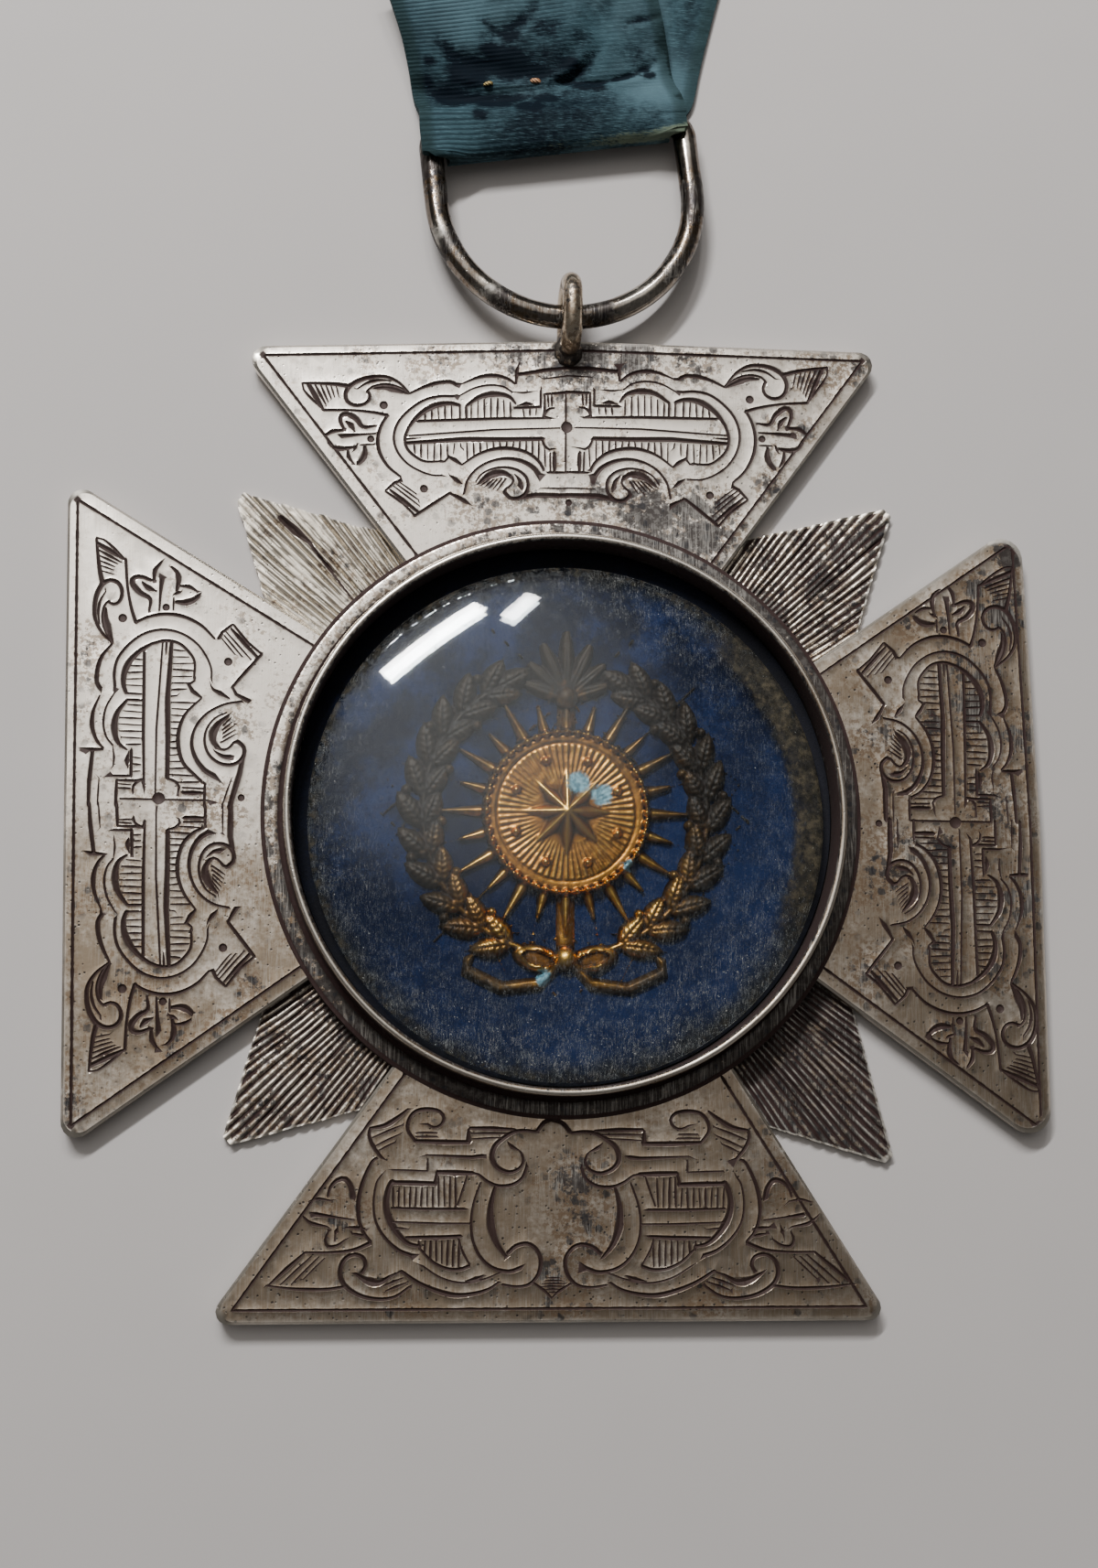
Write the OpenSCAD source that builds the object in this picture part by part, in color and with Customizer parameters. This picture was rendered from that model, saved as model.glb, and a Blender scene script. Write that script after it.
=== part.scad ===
// Fraternal jewel lying on its back: X to the right, Y towards the ribbon, Z out of the face.
// The origin is the centre of the cross, on the plane that the jewel rests on.

/* [Cross] */
// Width and height over the middles of the arms
cross_span = 90; // [84:1:96]
// Width of an arm at its outer end
arm_end_w = 61.2; // [56:0.5:62]
// Width of an arm where it leaves the collar
arm_root_w = 33.2; // [31:0.2:34]
// Thickness of the engraved plate
plate_t = 1.15; // [1:0.05:1.4]

/* [Collar] */
// Outer radius of the flat foot round the collar
foot_r = 27.6; // [27.2:0.1:28]
// Height of the foot above the plate
foot_h = 0.22; // [0.15:0.01:0.3]
// Outer radius of the collar
collar_r = 25.5; // [25:0.1:26]
// Wall of the collar
collar_wall = 0.7; // [0.6:0.05:0.9]
// Height of the collar above the plate
collar_h = 3.5; // [3:0.1:4]

/* [Ray star] */
// Thickness of the sheet at the top of its ribs
star_t = 0.8; // [0.7:0.05:1]
// Depth of the grooves between the ribs
groove_t = 0.28; // [0.15:0.01:0.35]
// Ribs in each point
rib_count = 26; // [16:1:30]
// Width of the blunt tip of a point
tip_w = 1; // [0.6:0.1:1.6]

/* [Glass] */
// Rise of the dome above its edge
glass_rise = 4; // [3.5:0.1:5]
// Thickness of the glass
glass_t = 1.1; // [0.9:0.1:1.3]

/* [Emblem] */
// Radius of the line that the wreath's stems follow
wreath_r = 13; // [12.4:0.1:13.2]
// Length of a laurel leaf
leaf_l = 3.9; // [3.4:0.1:4.2]
// Leaf pairs on each branch
leaf_pairs = 11; // [8:1:12]
// Rays round the middle boss
ray_count = 24; // [16:2:32]

/* [Hanging ring] */
// Radius of the ring's round part, at the middle of the wire
ring_r = 12.3; // [11.8:0.1:12.8]
// Diameter of the ring's wire
ring_wire = 2.25; // [2:0.05:2.3]
// Diameter of the bail's wire
bail_wire = 2; // [1.8:0.05:2.1]

/* [Ribbon] */
// Width of the ribbon
ribbon_w = 25.4; // [24:0.2:26]
// Thickness of the ribbon
ribbon_t = 0.6; // [0.5:0.05:0.7]

/* [Hidden] */
$fn = 96;

gap = 0.05;                         // clearance between pieces that lie on each other
plate_z = star_t + gap;             // back of the engraved plate
plate_top = plate_z + plate_t;
rim_z = plate_top + collar_h;
collar_in = collar_r - collar_wall;

// Each arm as it was cut: turn from the top arm, radius of its corners, then what is added to the
// even arm's reach at its left corner, in the middle and at its right corner, and to its half width
// at the end and at the root, on its left and on its right.
arm_turn = 0; arm_corner = 1; reach_l = 2; reach_m = 3; reach_r = 4;
arm_end_l = 5; arm_root_l = 6; arm_end_r = 7; arm_root_r = 8;
arms = [
    [  0, 1.3, -1.8,  0.1,  0.3,  1.5, -0.1,  0.0, -0.5],
    [ 90, 1.3, -1.0, -0.1,  0.7,  0.6,  0.2, -1.0,  1.0],
    [180, 1.1,  0.2,  0.2,  0.2, -1.1,  0.1,  0.6,  0.2],
    [270, 2.0, -1.3, -0.2,  0.0, -0.6, -0.7,  0.0, -0.4],
];
root_y = 25;                        // distance from the centre where arm_root_w is measured
arm_start_y = 20;                   // the arms run in under the foot to here

// Each point of the ray star: direction and reach of its tip.
points = [[43.8, 43.0], [136.0, 42.0], [224.8, 42.0], [314.0, 43.2]];
point_lean = 1.78;                  // how fast a point's edge falls back for each mm sideways
fan_half = 13.65;                   // half the angle that the ribs of one point fill
star_middle_r = 28.5;               // plain middle of the sheet
fan_start_r = 26.5;                 // the ribs start here, under the foot
rib_notch = 0.2;                    // a groove ends this much short of the rib beside it

ground_r = collar_in - 3 * gap;
ground_z = star_t + gap;
ground_t = 1.5;
ground_top = ground_z + ground_t;
ground_bevel = 0.2;

// The glass is smaller than the collar and has slid down in it, so a gap shows along its top.
glass_r = collar_in - 1.3;
glass_at = [0.15, -0.85];
glass_z = ground_top + gap;

// Middle boss, rays, bow and palmette of the emblem, in the plane of the ground.
emblem_z = ground_top + gap;
boss_r = 7.6;
boss_h = 0.9;
boss_rim = 0.5;                     // width of the boss's rim
boss_peak = 1.2;                    // height of the star's middle above the boss
star_r = 5.8;
star_waist_r = 2.6;
star_tips = 8;
ray_long = 11.2;
ray_short = 10.0;
ray_h = 0.6;
ray_w = 1.5;                        // width of a ray at its root and at its tip
ray_tip_w = 0.24;
stem_w = 0.7;
stem_h = 0.5;
leaf_w = 2.1;
leaf_h = 0.95;
leaf_lean = 28;                     // angle between a leaf and its stem
branch_start = 16;                  // half the angle left free at the bow
branch_end = 150;                   // where a branch ends, measured from the bow
leaf_root = 0.22;                   // a leaf starts this far along its own line
berry_r = 0.42;
berry_off = 1.65;                   // distance of a berry from the stem
bow_loop = [2.4, 1.25];             // half length and half width of a loop of the bow
bow_hollow = [1.5, 0.6];
bow_at = 2.5;                       // distance of a loop's middle from the knot
bow_lean = 14;
bow_h = 0.8;
tail_h = 0.6;
// Outline of the right tail of the bow, from the knot.
bow_tail = [[0.2, 0.4], [2.6, -1.9], [5.6, -2.3], [8.4, -1.0], [8.0, 0.4], [9.2, -0.2], [9.4, -1.9],
            [6.0, -3.6], [2.2, -3.2], [-0.2, -0.6]];
knob_r = 1.1;                       // round knob on the bow and on the palmette
knob_h = 1.2;
petal_l = 6.2;                      // middle petal, and how much shorter each next one is
petal_step = 0.75;
petal_w = 1.5;
petal_turn = 24;
petal_h = 0.7;
palmette_in = 2.4;                  // the palmette's root lies this far inside the wreath's line
back_h = 0.3;                       // thin ring and bars that tie the casting together
back_w = 0.6;
bar_w = 1.6;

// Hanging ring: its round part's centre, its turn in its own plane and how far it slopes.
ring_at = [-0.3, 59.15];
ring_turn = 6;
ring_bar_v = 7.4;                   // distance of the straight bar from the centre
ring_corner_r = 1.7;
wrap_gap = 0.15;                    // air between the wire and the cloth round it
ring_bar_z = ribbon_t + wrap_gap + ring_wire / 2;
bail_clear = 0.2;                   // air between the bail's back leg and the ring
ring_low_z = bail_wire + bail_clear + ring_wire / 2;
ring_slope = asin((ring_low_z - ring_bar_z) / (ring_bar_v + ring_r));
ring_z = ring_bar_z + ring_bar_v * sin(ring_slope);

// Bail: an upright loop of wire over the top arm's edge.
bail_x = 0.1;
bail_bend_y = 47.9;
bail_bend_r = ring_wire / 2 + bail_clear + bail_wire / 2;
bail_bend_z = bail_wire / 2 + bail_bend_r;
bail_back_end = 43.2;
bail_drop_r = 8;                    // front leg: a slow curve forward, then a tight one down to the plate
bail_drop_sweep = 15;
bail_turn_r = 2.2;
blob_r = 1.3;                       // solder at the front leg's end

// Ribbon rows from the front end to the fold, then from the fold to the back end: middle of the
// cloth, the tilt of its width and its height.
row_x = 0; row_y = 1; row_tilt = 2; row_z = 3;
front_rows = [
    [-6.0, 83.6, 11.7, 3.4],
    [-4.7, 80.0, 10.8, 3.0],
    [-3.6, 76.8,  9.8, 2.4],
    [-2.8, 73.6,  8.8, 1.6],
    [-2.4, 71.5,  8.4, 1.05],
    [-2.1, 70.2,  8.0, 1.15],
    [-1.7, 68.9,  7.6, 1.9],
];
back_rows = [
    [-0.8, 67.6,   7.2, 0.3],
    [-0.2, 70.5,   0.5, 0.3],
    [ 0.4, 74.3,  -3.1, 0.3],
    [ 1.3, 78.8,  -7.2, 0.3],
    [ 3.0, 86.0, -12.5, 0.3],
];
wrap_z_r = ring_wire / 2 + wrap_gap + ribbon_t / 2; // half height of the fold round the bar
wrap_left = 3;                      // reach of the fold past the bar, at its left and right end
wrap_right = 1.55;
over_leg = 0.1;                     // further rise where the cloth lies over the ring's legs
over_start = 8.5;                   // distance from the bar's middle where that rise starts and ends
over_end = 11;
// Rows of the fold: angle round the bar, the cloth's reach to the left and to the right, its share of
// the fold's reach and how far it lies over the ring's legs. Under the nose of the fold the cloth is
// drawn in, because it passes between the legs there.
wrap_turn = 0; wrap_l = 1; wrap_r = 2; wrap_share = 3; wrap_over = 4;
inner_half = ring_r - ring_wire / 2 - 0.375;
wrap_rows = [
    [115, 13.2,       12.4,       -0.42, 1],
    [ 90, 13.3,       12.3,        0,    1],
    [ 70, 13.3,       12.3,        0.45, 1],
    [ 52, 13.3,       12.3,        0.8,  1],
    [ 38, 13.2,       12.3,        0.95, 1],
    [ 27, 12.1,       11.8,        1,    1],
    [ 15, inner_half, inner_half,  1,    0.5],
    [ -5, inner_half, inner_half,  1,    0],
    [-30, inner_half, inner_half,  0.87, 0],
    [-52, inner_half, inner_half,  0.62, 0],
    [-72, 11.3,       11.3,        0.31, 0],
];
cloth_steps = 12;                   // strips across the ribbon

function unit(v) = v / norm(v);

// Points of the rounded corner b between its neighbours a and c.
function corner(a, b, c, r, n = 6) =
    let (ba = unit(a - b), bc = unit(c - b),
         half = acos(ba * bc) / 2,
         mid = b + unit(ba + bc) * r / sin(half),
         p = b + ba * r / tan(half) - mid,
         q = b + bc * r / tan(half) - mid,
         from = atan2(p.y, p.x),
         turn = atan2(q.y, q.x) - from,
         sweep = turn > 180 ? turn - 360 : turn < -180 ? turn + 360 : turn)
    [for (i = [0:n]) mid + r * [cos(from + sweep * i / n), sin(from + sweep * i / n)]];

// Outline of one arm that points to +Y.
function arm_outline(row) =
    let (half = cross_span / 2,
         end_l = arm_end_w / 2 + row[arm_end_l],
         root_l = arm_root_w / 2 + row[arm_root_l],
         end_r = arm_end_w / 2 + row[arm_end_r],
         root_r = arm_root_w / 2 + row[arm_root_r],
         lean_l = (end_l - root_l) / (half - root_y),
         lean_r = (end_r - root_r) / (half - root_y),
         in_l = [-(root_l - lean_l * (root_y - arm_start_y)), arm_start_y],
         in_r = [root_r - lean_r * (root_y - arm_start_y), arm_start_y],
         out_l = [-(end_l + lean_l * row[reach_l]), half + row[reach_l]],
         middle = [0, half + row[reach_m]],
         out_r = [end_r + lean_r * row[reach_r], half + row[reach_r]],
         r = row[arm_corner])
    concat([in_r], corner(in_r, out_r, middle, r), [middle], corner(middle, out_l, in_l, r), [in_l]);

// The plate, the foot and the collar with its rounded rim.
module cross_plate() {
    translate([0, 0, plate_z])
        linear_extrude(plate_t)
            difference() {
                union() {
                    for (row = arms) rotate(row[arm_turn]) polygon(arm_outline(row));
                    circle(foot_r);
                }
                circle(collar_in);
            }
    edge_break = foot_h * 0.7;
    rotate_extrude()
        union() {
            translate([collar_in, plate_z])
                square([collar_wall, rim_z - collar_wall / 2 - plate_z]);
            translate([collar_in + collar_wall / 2, rim_z - collar_wall / 2])
                circle(collar_wall / 2);
            polygon([[collar_r - 0.1, plate_z], [foot_r, plate_z], [foot_r, plate_top + foot_h - edge_break],
                     [foot_r - edge_break, plate_top + foot_h], [collar_r - 0.1, plate_top + foot_h]]);
        }
}

// A piece of bent wire in the plane of Y and Z, from angle a through the given sweep.
module bail_bend(y, z, r, a, sweep) {
    translate([bail_x, y, z])
        rotate([90, 0, 90])
            rotate(a)
                rotate_extrude(angle = sweep)
                    translate([r, 0]) circle(bail_wire / 2);
}

module bail() {
    drop_z = bail_bend_z + bail_bend_r - bail_drop_r;
    across = [-sin(bail_drop_sweep), cos(bail_drop_sweep)];
    turn_at = [bail_bend_y, drop_z] + (bail_drop_r - bail_turn_r) * across;
    bail_bend(bail_bend_y, bail_bend_z, bail_bend_r, -90, 180);
    bail_bend(bail_bend_y, drop_z, bail_drop_r, 90, bail_drop_sweep);
    bail_bend(turn_at.x, turn_at.y, bail_turn_r, 90 + bail_drop_sweep, 90 - bail_drop_sweep);
    foot_y = turn_at.x - bail_turn_r;
    translate([bail_x, foot_y, plate_top])
        cylinder(r = bail_wire / 2, h = turn_at.y - plate_top);
    translate([bail_x, bail_back_end, bail_wire / 2])
        rotate([-90, 0, 0]) cylinder(r = bail_wire / 2, h = bail_bend_y - bail_back_end);
    translate([bail_x, bail_back_end, bail_wire / 2]) sphere(bail_wire / 2);
    translate([bail_x, foot_y, plate_top])
        intersection() {
            sphere(blob_r);
            translate([-2 * blob_r, -2 * blob_r, -plate_t / 2]) cube(4 * blob_r);
        }
}

module cross() {
    color("#b4aa9c") {
        cross_plate();
        bail();
    }
}

// Distance from the centre to a point's edge, at the angle t from the line to its tip.
function point_edge(reach, t) =
    min(reach, (reach + point_lean * tip_w / 2) / (1 + point_lean * tan(abs(t)))) / cos(t);

// One ribbed point: ridges and grooves fan out from the centre of the jewel.
module star_point(reach) {
    last = 2 * rib_count;
    rows = [for (i = [0:last])
        let (t = fan_half * (2 * i / last - 1),
             groove = i % 2 == 0,
             far = point_edge(reach, t) - (groove ? rib_notch : 0),
             z = groove ? star_t - groove_t : star_t,
             d = [cos(t), sin(t)])
        [[fan_start_r * d.x, fan_start_r * d.y, 0], [far * d.x, far * d.y, 0],
         [far * d.x, far * d.y, z], [fan_start_r * d.x, fan_start_r * d.y, z]]];
    sides = [for (i = [0:last - 1], k = [0:3])
        let (a = 4 * i + k, b = 4 * i + (k + 1) % 4, c = b + 4, d = a + 4)
        each [[a, b, c], [a, c, d]]];
    polyhedron([for (r = rows) each r],
               concat([[0, 3, 2], [0, 2, 1]], sides,
                      [[4 * last, 4 * last + 1, 4 * last + 2], [4 * last, 4 * last + 2, 4 * last + 3]]));
}

module ray_star() {
    color("#8e8578") {
        cylinder(r = star_middle_r, h = star_t - groove_t);
        for (p = points) rotate(p.x) star_point(p.y);
    }
}

module blue_ground() {
    color("#1c2c58")
        translate([0, 0, ground_z])
            rotate_extrude()
                polygon([[0, 0], [ground_r, 0], [ground_r, ground_top - ground_z - ground_bevel],
                         [ground_r - ground_bevel, ground_top - ground_z], [0, ground_top - ground_z]]);
}

// A leaf that lies on the ground with its stalk at the origin and its tip towards +X.
module leaf(l, w, h) {
    polyhedron(
        [[0, 0, 0], [0.35 * l, w / 2, 0], [0.72 * l, 0.38 * w, 0], [l, 0, 0], [0.72 * l, -0.38 * w, 0],
         [0.35 * l, -w / 2, 0], [0.05 * l, 0, 0.5 * h], [0.4 * l, 0, h], [0.78 * l, 0, 0.85 * h],
         [0.97 * l, 0, 0.35 * h]],
        [[5, 4, 3, 2, 1, 0], [1, 6, 0], [7, 6, 1], [2, 7, 1], [8, 7, 2], [3, 8, 2], [9, 8, 3],
         [4, 8, 9], [3, 4, 9], [7, 8, 4], [5, 7, 4], [6, 7, 5], [0, 6, 5]]);
}

// One branch of the wreath, from the bow round the right side.
module branch() {
    for (i = [0:leaf_pairs - 1]) {
        a = branch_start + 6 + (branch_end - branch_start - 12) * i / (leaf_pairs - 1) - 90;
        at = wreath_r * [cos(a), sin(a)];
        translate([at.x, at.y, 0]) {
            rotate(a + 90 - leaf_lean) translate([leaf_root, 0, 0]) leaf(leaf_l, leaf_w, leaf_h);
            rotate(a + 90 + leaf_lean) translate([leaf_root, 0, 0]) leaf(leaf_l * 0.9, leaf_w, leaf_h);
        }
        if (i > 0) {
            berry = (wreath_r + (i % 2 == 0 ? berry_off : -berry_off)) * [cos(a + 2), sin(a + 2)];
            translate([berry.x, berry.y, 0]) cylinder(r = berry_r, h = leaf_h * 0.7);
        }
    }
    rotate(branch_start - 90)
        rotate_extrude(angle = branch_end - branch_start)
            translate([wreath_r - stem_w / 2, 0]) square([stem_w, stem_h]);
    tip = branch_end - 90;
    translate([wreath_r * cos(tip), wreath_r * sin(tip), 0]) rotate(tip + 90) leaf(leaf_l, leaf_w, leaf_h);
}

// Faceted eight-pointed star on a stepped boss, in a ring of rays.
module boss() {
    cylinder(r = boss_r - boss_rim / 2, h = boss_h);
    rotate_extrude() translate([boss_r - boss_rim, 0]) square([boss_rim, boss_h + back_h]);
    rim = [for (i = [0:2 * star_tips - 1])
        let (r = i % 2 == 0 ? star_r : star_waist_r, a = 90 + 180 * i / star_tips)
        [r * cos(a), r * sin(a), boss_h / 2]];
    n = len(rim);
    polyhedron(concat(rim, [[0, 0, boss_h + boss_peak], [0, 0, boss_h / 2]]),
               [for (i = [0:n - 1]) each [[i, n, (i + 1) % n], [(i + 1) % n, n + 1, i]]]);
    for (i = [0:ray_count - 1])
        rotate(i * 360 / ray_count)
            linear_extrude(ray_h)
                let (tip = i % 2 == 0 ? ray_long : ray_short, root = boss_r - boss_rim)
                    polygon([[root, -ray_w / 2], [tip, -ray_tip_w / 2], [tip, ray_tip_w / 2], [root, ray_w / 2]]);
}

// One side of the bow: a flat loop and a tail.
module bow_side() {
    translate([bow_at, -wreath_r - back_h, 0])
        rotate(bow_lean)
            difference() {
                linear_extrude(bow_h)
                    polygon([for (a = [0:30:330]) [bow_loop.x * cos(a), bow_loop.y * sin(a)]]);
                translate([0, 0, bow_h / 2])
                    linear_extrude(bow_h)
                        polygon([for (a = [0:30:330]) [bow_hollow.x * cos(a), bow_hollow.y * sin(a)]]);
            }
    translate([0, -wreath_r, 0])
        linear_extrude(tail_h)
            polygon(bow_tail);
}

// Outline of a petal from its root to its tip.
function petal(l, w) = concat(
    [for (t = [0:5]) [l * t / 6, w / 2 * pow(sin(150 * t / 6 + 15), 0.7)]], [[l, 0]],
    [for (t = [5:-1:0]) [l * t / 6, -w / 2 * pow(sin(150 * t / 6 + 15), 0.7)]]);

// Fan of seven petals at the top.
module palmette() {
    translate([0, wreath_r - palmette_in, 0]) {
        linear_extrude(petal_h)
            for (i = [-3:3])
                rotate(90 + i * petal_turn) polygon(petal(petal_l - abs(i) * petal_step, petal_w));
        cylinder(r = knob_r, h = knob_h);
    }
}

module emblem() {
    color("#b07a2c")
        translate([0, 0, emblem_z]) {
            boss();
            for (side = [0, 1]) mirror([side, 0, 0]) {
                branch();
                bow_side();
            }
            palmette();
            translate([0, -wreath_r - back_h, 0]) cylinder(r = knob_r, h = knob_h);
            rotate_extrude()
                translate([wreath_r - back_w / 2, 0]) square([back_w, back_h]);
            for (a = [90, 270]) rotate(a)
                translate([boss_r - boss_rim, -bar_w / 2, 0]) cube([wreath_r - boss_r + boss_rim, bar_w, back_h]);
        }
}

// Watch glass: a shell between two spheres, with a flat edge.
module glass_dome() {
    outer_r = (glass_r * glass_r + glass_rise * glass_rise) / (2 * glass_rise);
    centre_z = glass_z + glass_t + glass_rise - outer_r;
    color("#dfe6ea", 0.35)
        translate([glass_at.x, glass_at.y, 0])
            difference() {
                union() {
                    translate([0, 0, glass_z]) cylinder(r = glass_r, h = glass_t);
                    intersection() {
                        translate([0, 0, centre_z]) sphere(outer_r);
                        translate([0, 0, glass_z + glass_t / 2]) cylinder(r = glass_r, h = 2 * glass_rise);
                    }
                }
                translate([0, 0, centre_z]) sphere(outer_r - glass_t);
            }
}

// Ring of round wire with a straight bar across its top.
module hanging_ring() {
    leg = ring_bar_v - ring_corner_r;
    bar_half = ring_r - ring_corner_r;
    color("#5c554e")
        translate([ring_at.x, ring_at.y, ring_z])
            rotate([0, 0, ring_turn])
                rotate([-ring_slope, 0, 0]) {
                    rotate(180) rotate_extrude(angle = 180) translate([ring_r, 0]) circle(ring_wire / 2);
                    for (side = [-1, 1]) {
                        translate([side * ring_r, 0, 0])
                            rotate([-90, 0, 0]) cylinder(d = ring_wire, h = leg);
                        translate([side * bar_half, leg, 0])
                            rotate(side > 0 ? 0 : 90)
                                rotate_extrude(angle = 90) translate([ring_corner_r, 0]) circle(ring_wire / 2);
                    }
                    translate([-bar_half, ring_bar_v, 0])
                        rotate([0, 90, 0]) cylinder(d = ring_wire, h = 2 * bar_half);
                }
}

// A place in the ring's own plane: u along the bar, v from the round part's centre towards the bar.
function ring_place(u, v) =
    [ring_at.x + u * cos(ring_turn) - v * sin(ring_turn), ring_at.y + u * sin(ring_turn) + v * cos(ring_turn)];

// The middle of the cloth at one row, from its left edge to its right edge.
function free_line(row) = [for (j = [0:cloth_steps])
    let (u = ribbon_w * (j / cloth_steps - 0.5))
    [row[row_x] + u * cos(row[row_tilt]), row[row_y] + u * sin(row[row_tilt]), row[row_z]]];

function wrap_line(row) = [for (j = [0:cloth_steps])
    let (f = j / cloth_steps,
         out = (wrap_left + (wrap_right - wrap_left) * f) * row[wrap_share],
         u = -row[wrap_l] + (row[wrap_l] + row[wrap_r]) * f,
         p = ring_place(u, ring_bar_v - out),
         low = ring_bar_z + wrap_z_r * sin(row[wrap_turn]),
         high = ring_bar_z + out * sin(ring_slope) + wrap_z_r + over_leg,
         rise = row[wrap_over] * max(0, min(1, (abs(u) - over_start) / (over_end - over_start))))
    [p.x, p.y, low + rise * max(0, high - low)]];

cloth = concat([for (r = front_rows) free_line(r)], [for (r = wrap_rows) wrap_line(r)],
               [for (r = back_rows) free_line(r)]);

// Cloth surface moved by half its thickness to one side.
function cloth_side(s) =
    let (last = len(cloth) - 1)
    [for (i = [0:last], j = [0:cloth_steps])
        let (along = cloth[min(i + 1, last)][j] - cloth[max(i - 1, 0)][j],
             across = cloth[i][min(j + 1, cloth_steps)] - cloth[i][max(j - 1, 0)])
        cloth[i][j] + unit(cross(along, across)) * s * ribbon_t / 2];

module ribbon() {
    rows = len(cloth);
    cols = cloth_steps + 1;
    under = rows * cols;
    top_faces = [for (i = [0:rows - 2], j = [0:cols - 2])
        let (a = i * cols + j) each [[a, a + 1, a + cols + 1], [a, a + cols + 1, a + cols]]];
    edge = concat([for (j = [0:cols - 1]) j],
                  [for (i = [1:rows - 1]) i * cols + cols - 1],
                  [for (j = [cols - 2:-1:0]) (rows - 1) * cols + j],
                  [for (i = [rows - 2:-1:1]) i * cols]);
    n = len(edge);
    color("#3f7480")
        polyhedron(
            concat(cloth_side(1), cloth_side(-1)),
            concat(top_faces,
                   [for (f = top_faces) [f[2] + under, f[1] + under, f[0] + under]],
                   [for (k = [0:n - 1])
                       let (a = edge[k], b = edge[(k + 1) % n])
                       each [[b, a, a + under], [b, a + under, b + under]]]));
}

cross();
ray_star();
blue_ground();
emblem();
glass_dome();
hanging_ring();
ribbon();
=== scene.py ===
import math
import random

import bmesh
import bpy
import numpy as np
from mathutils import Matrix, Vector, noise
from mathutils.geometry import delaunay_2d_cdt


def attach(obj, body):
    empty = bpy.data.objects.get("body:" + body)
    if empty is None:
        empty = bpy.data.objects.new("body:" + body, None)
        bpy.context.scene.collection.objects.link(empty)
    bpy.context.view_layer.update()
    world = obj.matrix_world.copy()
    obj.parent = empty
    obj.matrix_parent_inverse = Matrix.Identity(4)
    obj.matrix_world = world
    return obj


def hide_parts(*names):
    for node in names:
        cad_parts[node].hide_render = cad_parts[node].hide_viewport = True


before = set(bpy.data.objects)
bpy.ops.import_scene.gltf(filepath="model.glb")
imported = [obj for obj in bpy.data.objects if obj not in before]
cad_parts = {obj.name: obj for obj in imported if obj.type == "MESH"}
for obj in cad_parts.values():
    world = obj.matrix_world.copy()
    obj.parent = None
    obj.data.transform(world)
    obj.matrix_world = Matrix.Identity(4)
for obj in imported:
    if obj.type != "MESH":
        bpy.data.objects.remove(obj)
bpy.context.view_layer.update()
mm = 0.001  # every size below is in millimetres, and meshes are written in metres


# Camera, lights and floor

photoView = {
    "place": (-20.83, -24.27, 182.93),
    "turn": (0.1465, -0.1072, 0.0053),
    "lens": 66,
    "sensor": 36,
}
studio = {
    # place, size, turn and power; both windows lie level above the jewel's upper left
    "windows": {
        "window_lamp": ((-176, 400, 450), (225, 38), 43, 5),
        "small_window_lamp": ((-20, 470, 450), (32, 88), -34, 0.8),
    },
    "worldBright": (-0.17, 0.45, 0.877),
    "worldEdge": (0.78, 1.0),
    "worldLight": (0.1, 1.25),
    "worldColor": (1.0, 0.975, 0.94, 1),
    "floorColor": (0.59, 0.56, 0.545, 1),
    "floorSize": 1600,
}


def makeCamera():
    data = bpy.data.cameras.new("camera")
    data.lens = photoView["lens"]
    data.sensor_fit = "HORIZONTAL"
    data.sensor_width = photoView["sensor"]
    data.clip_start = 0.01
    camera = bpy.data.objects.new("camera", data)
    camera.location = Vector(photoView["place"]) * mm
    camera.rotation_euler = photoView["turn"]
    bpy.context.scene.collection.objects.link(camera)
    bpy.context.scene.camera = camera


def makeStudio():
    for name, (place, size, turn, power) in studio["windows"].items():
        data = bpy.data.lights.new(name, "AREA")
        data.shape = "RECTANGLE"
        data.size, data.size_y = [s * mm for s in size]
        data.energy = power
        lamp = bpy.data.objects.new(name, data)
        lamp.location = Vector(place) * mm
        lamp.rotation_euler = (0, 0, math.radians(turn))
        bpy.context.scene.collection.objects.link(lamp)
    world = bpy.data.worlds.new("studio")
    world.use_nodes = True
    sky = world.node_tree
    direction = sky.nodes.new("ShaderNodeTexCoord")
    towards = sky.nodes.new("ShaderNodeVectorMath")
    towards.operation = "DOT_PRODUCT"
    towards.inputs[1].default_value = Vector(studio["worldBright"]).normalized()
    shade = sky.nodes.new("ShaderNodeMapRange")
    shade.interpolation_type = "SMOOTHSTEP"
    shade.inputs["From Min"].default_value = studio["worldEdge"][0]
    shade.inputs["From Max"].default_value = studio["worldEdge"][1]
    shade.inputs["To Min"].default_value = studio["worldLight"][0]
    shade.inputs["To Max"].default_value = studio["worldLight"][1]
    sky.links.new(direction.outputs["Generated"], towards.inputs[0])
    sky.links.new(towards.outputs["Value"], shade.inputs["Value"])
    sky.links.new(shade.outputs["Result"], sky.nodes["Background"].inputs["Strength"])
    sky.nodes["Background"].inputs["Color"].default_value = studio["worldColor"]
    bpy.context.scene.world = world


makeCamera()
makeStudio()
print("camera and lights are set")


# Shader nodes

class Wire:
    # one output of a node; the operators add Math nodes
    def __init__(self, paint, socket):
        self.paint = paint
        self.socket = socket

    def math(self, operation, *others):
        return self.paint.add("Math", {"operation": operation}, dict(enumerate((self,) + others)))

    def __add__(self, other):
        return self.math("ADD", other)

    def __sub__(self, other):
        return self.math("SUBTRACT", other)

    def __rsub__(self, other):
        return self.paint.add("Math", {"operation": "SUBTRACT"}, {0: other, 1: self})

    def __mul__(self, other):
        return self.math("MULTIPLY", other)

    __radd__ = __add__
    __rmul__ = __mul__


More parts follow.
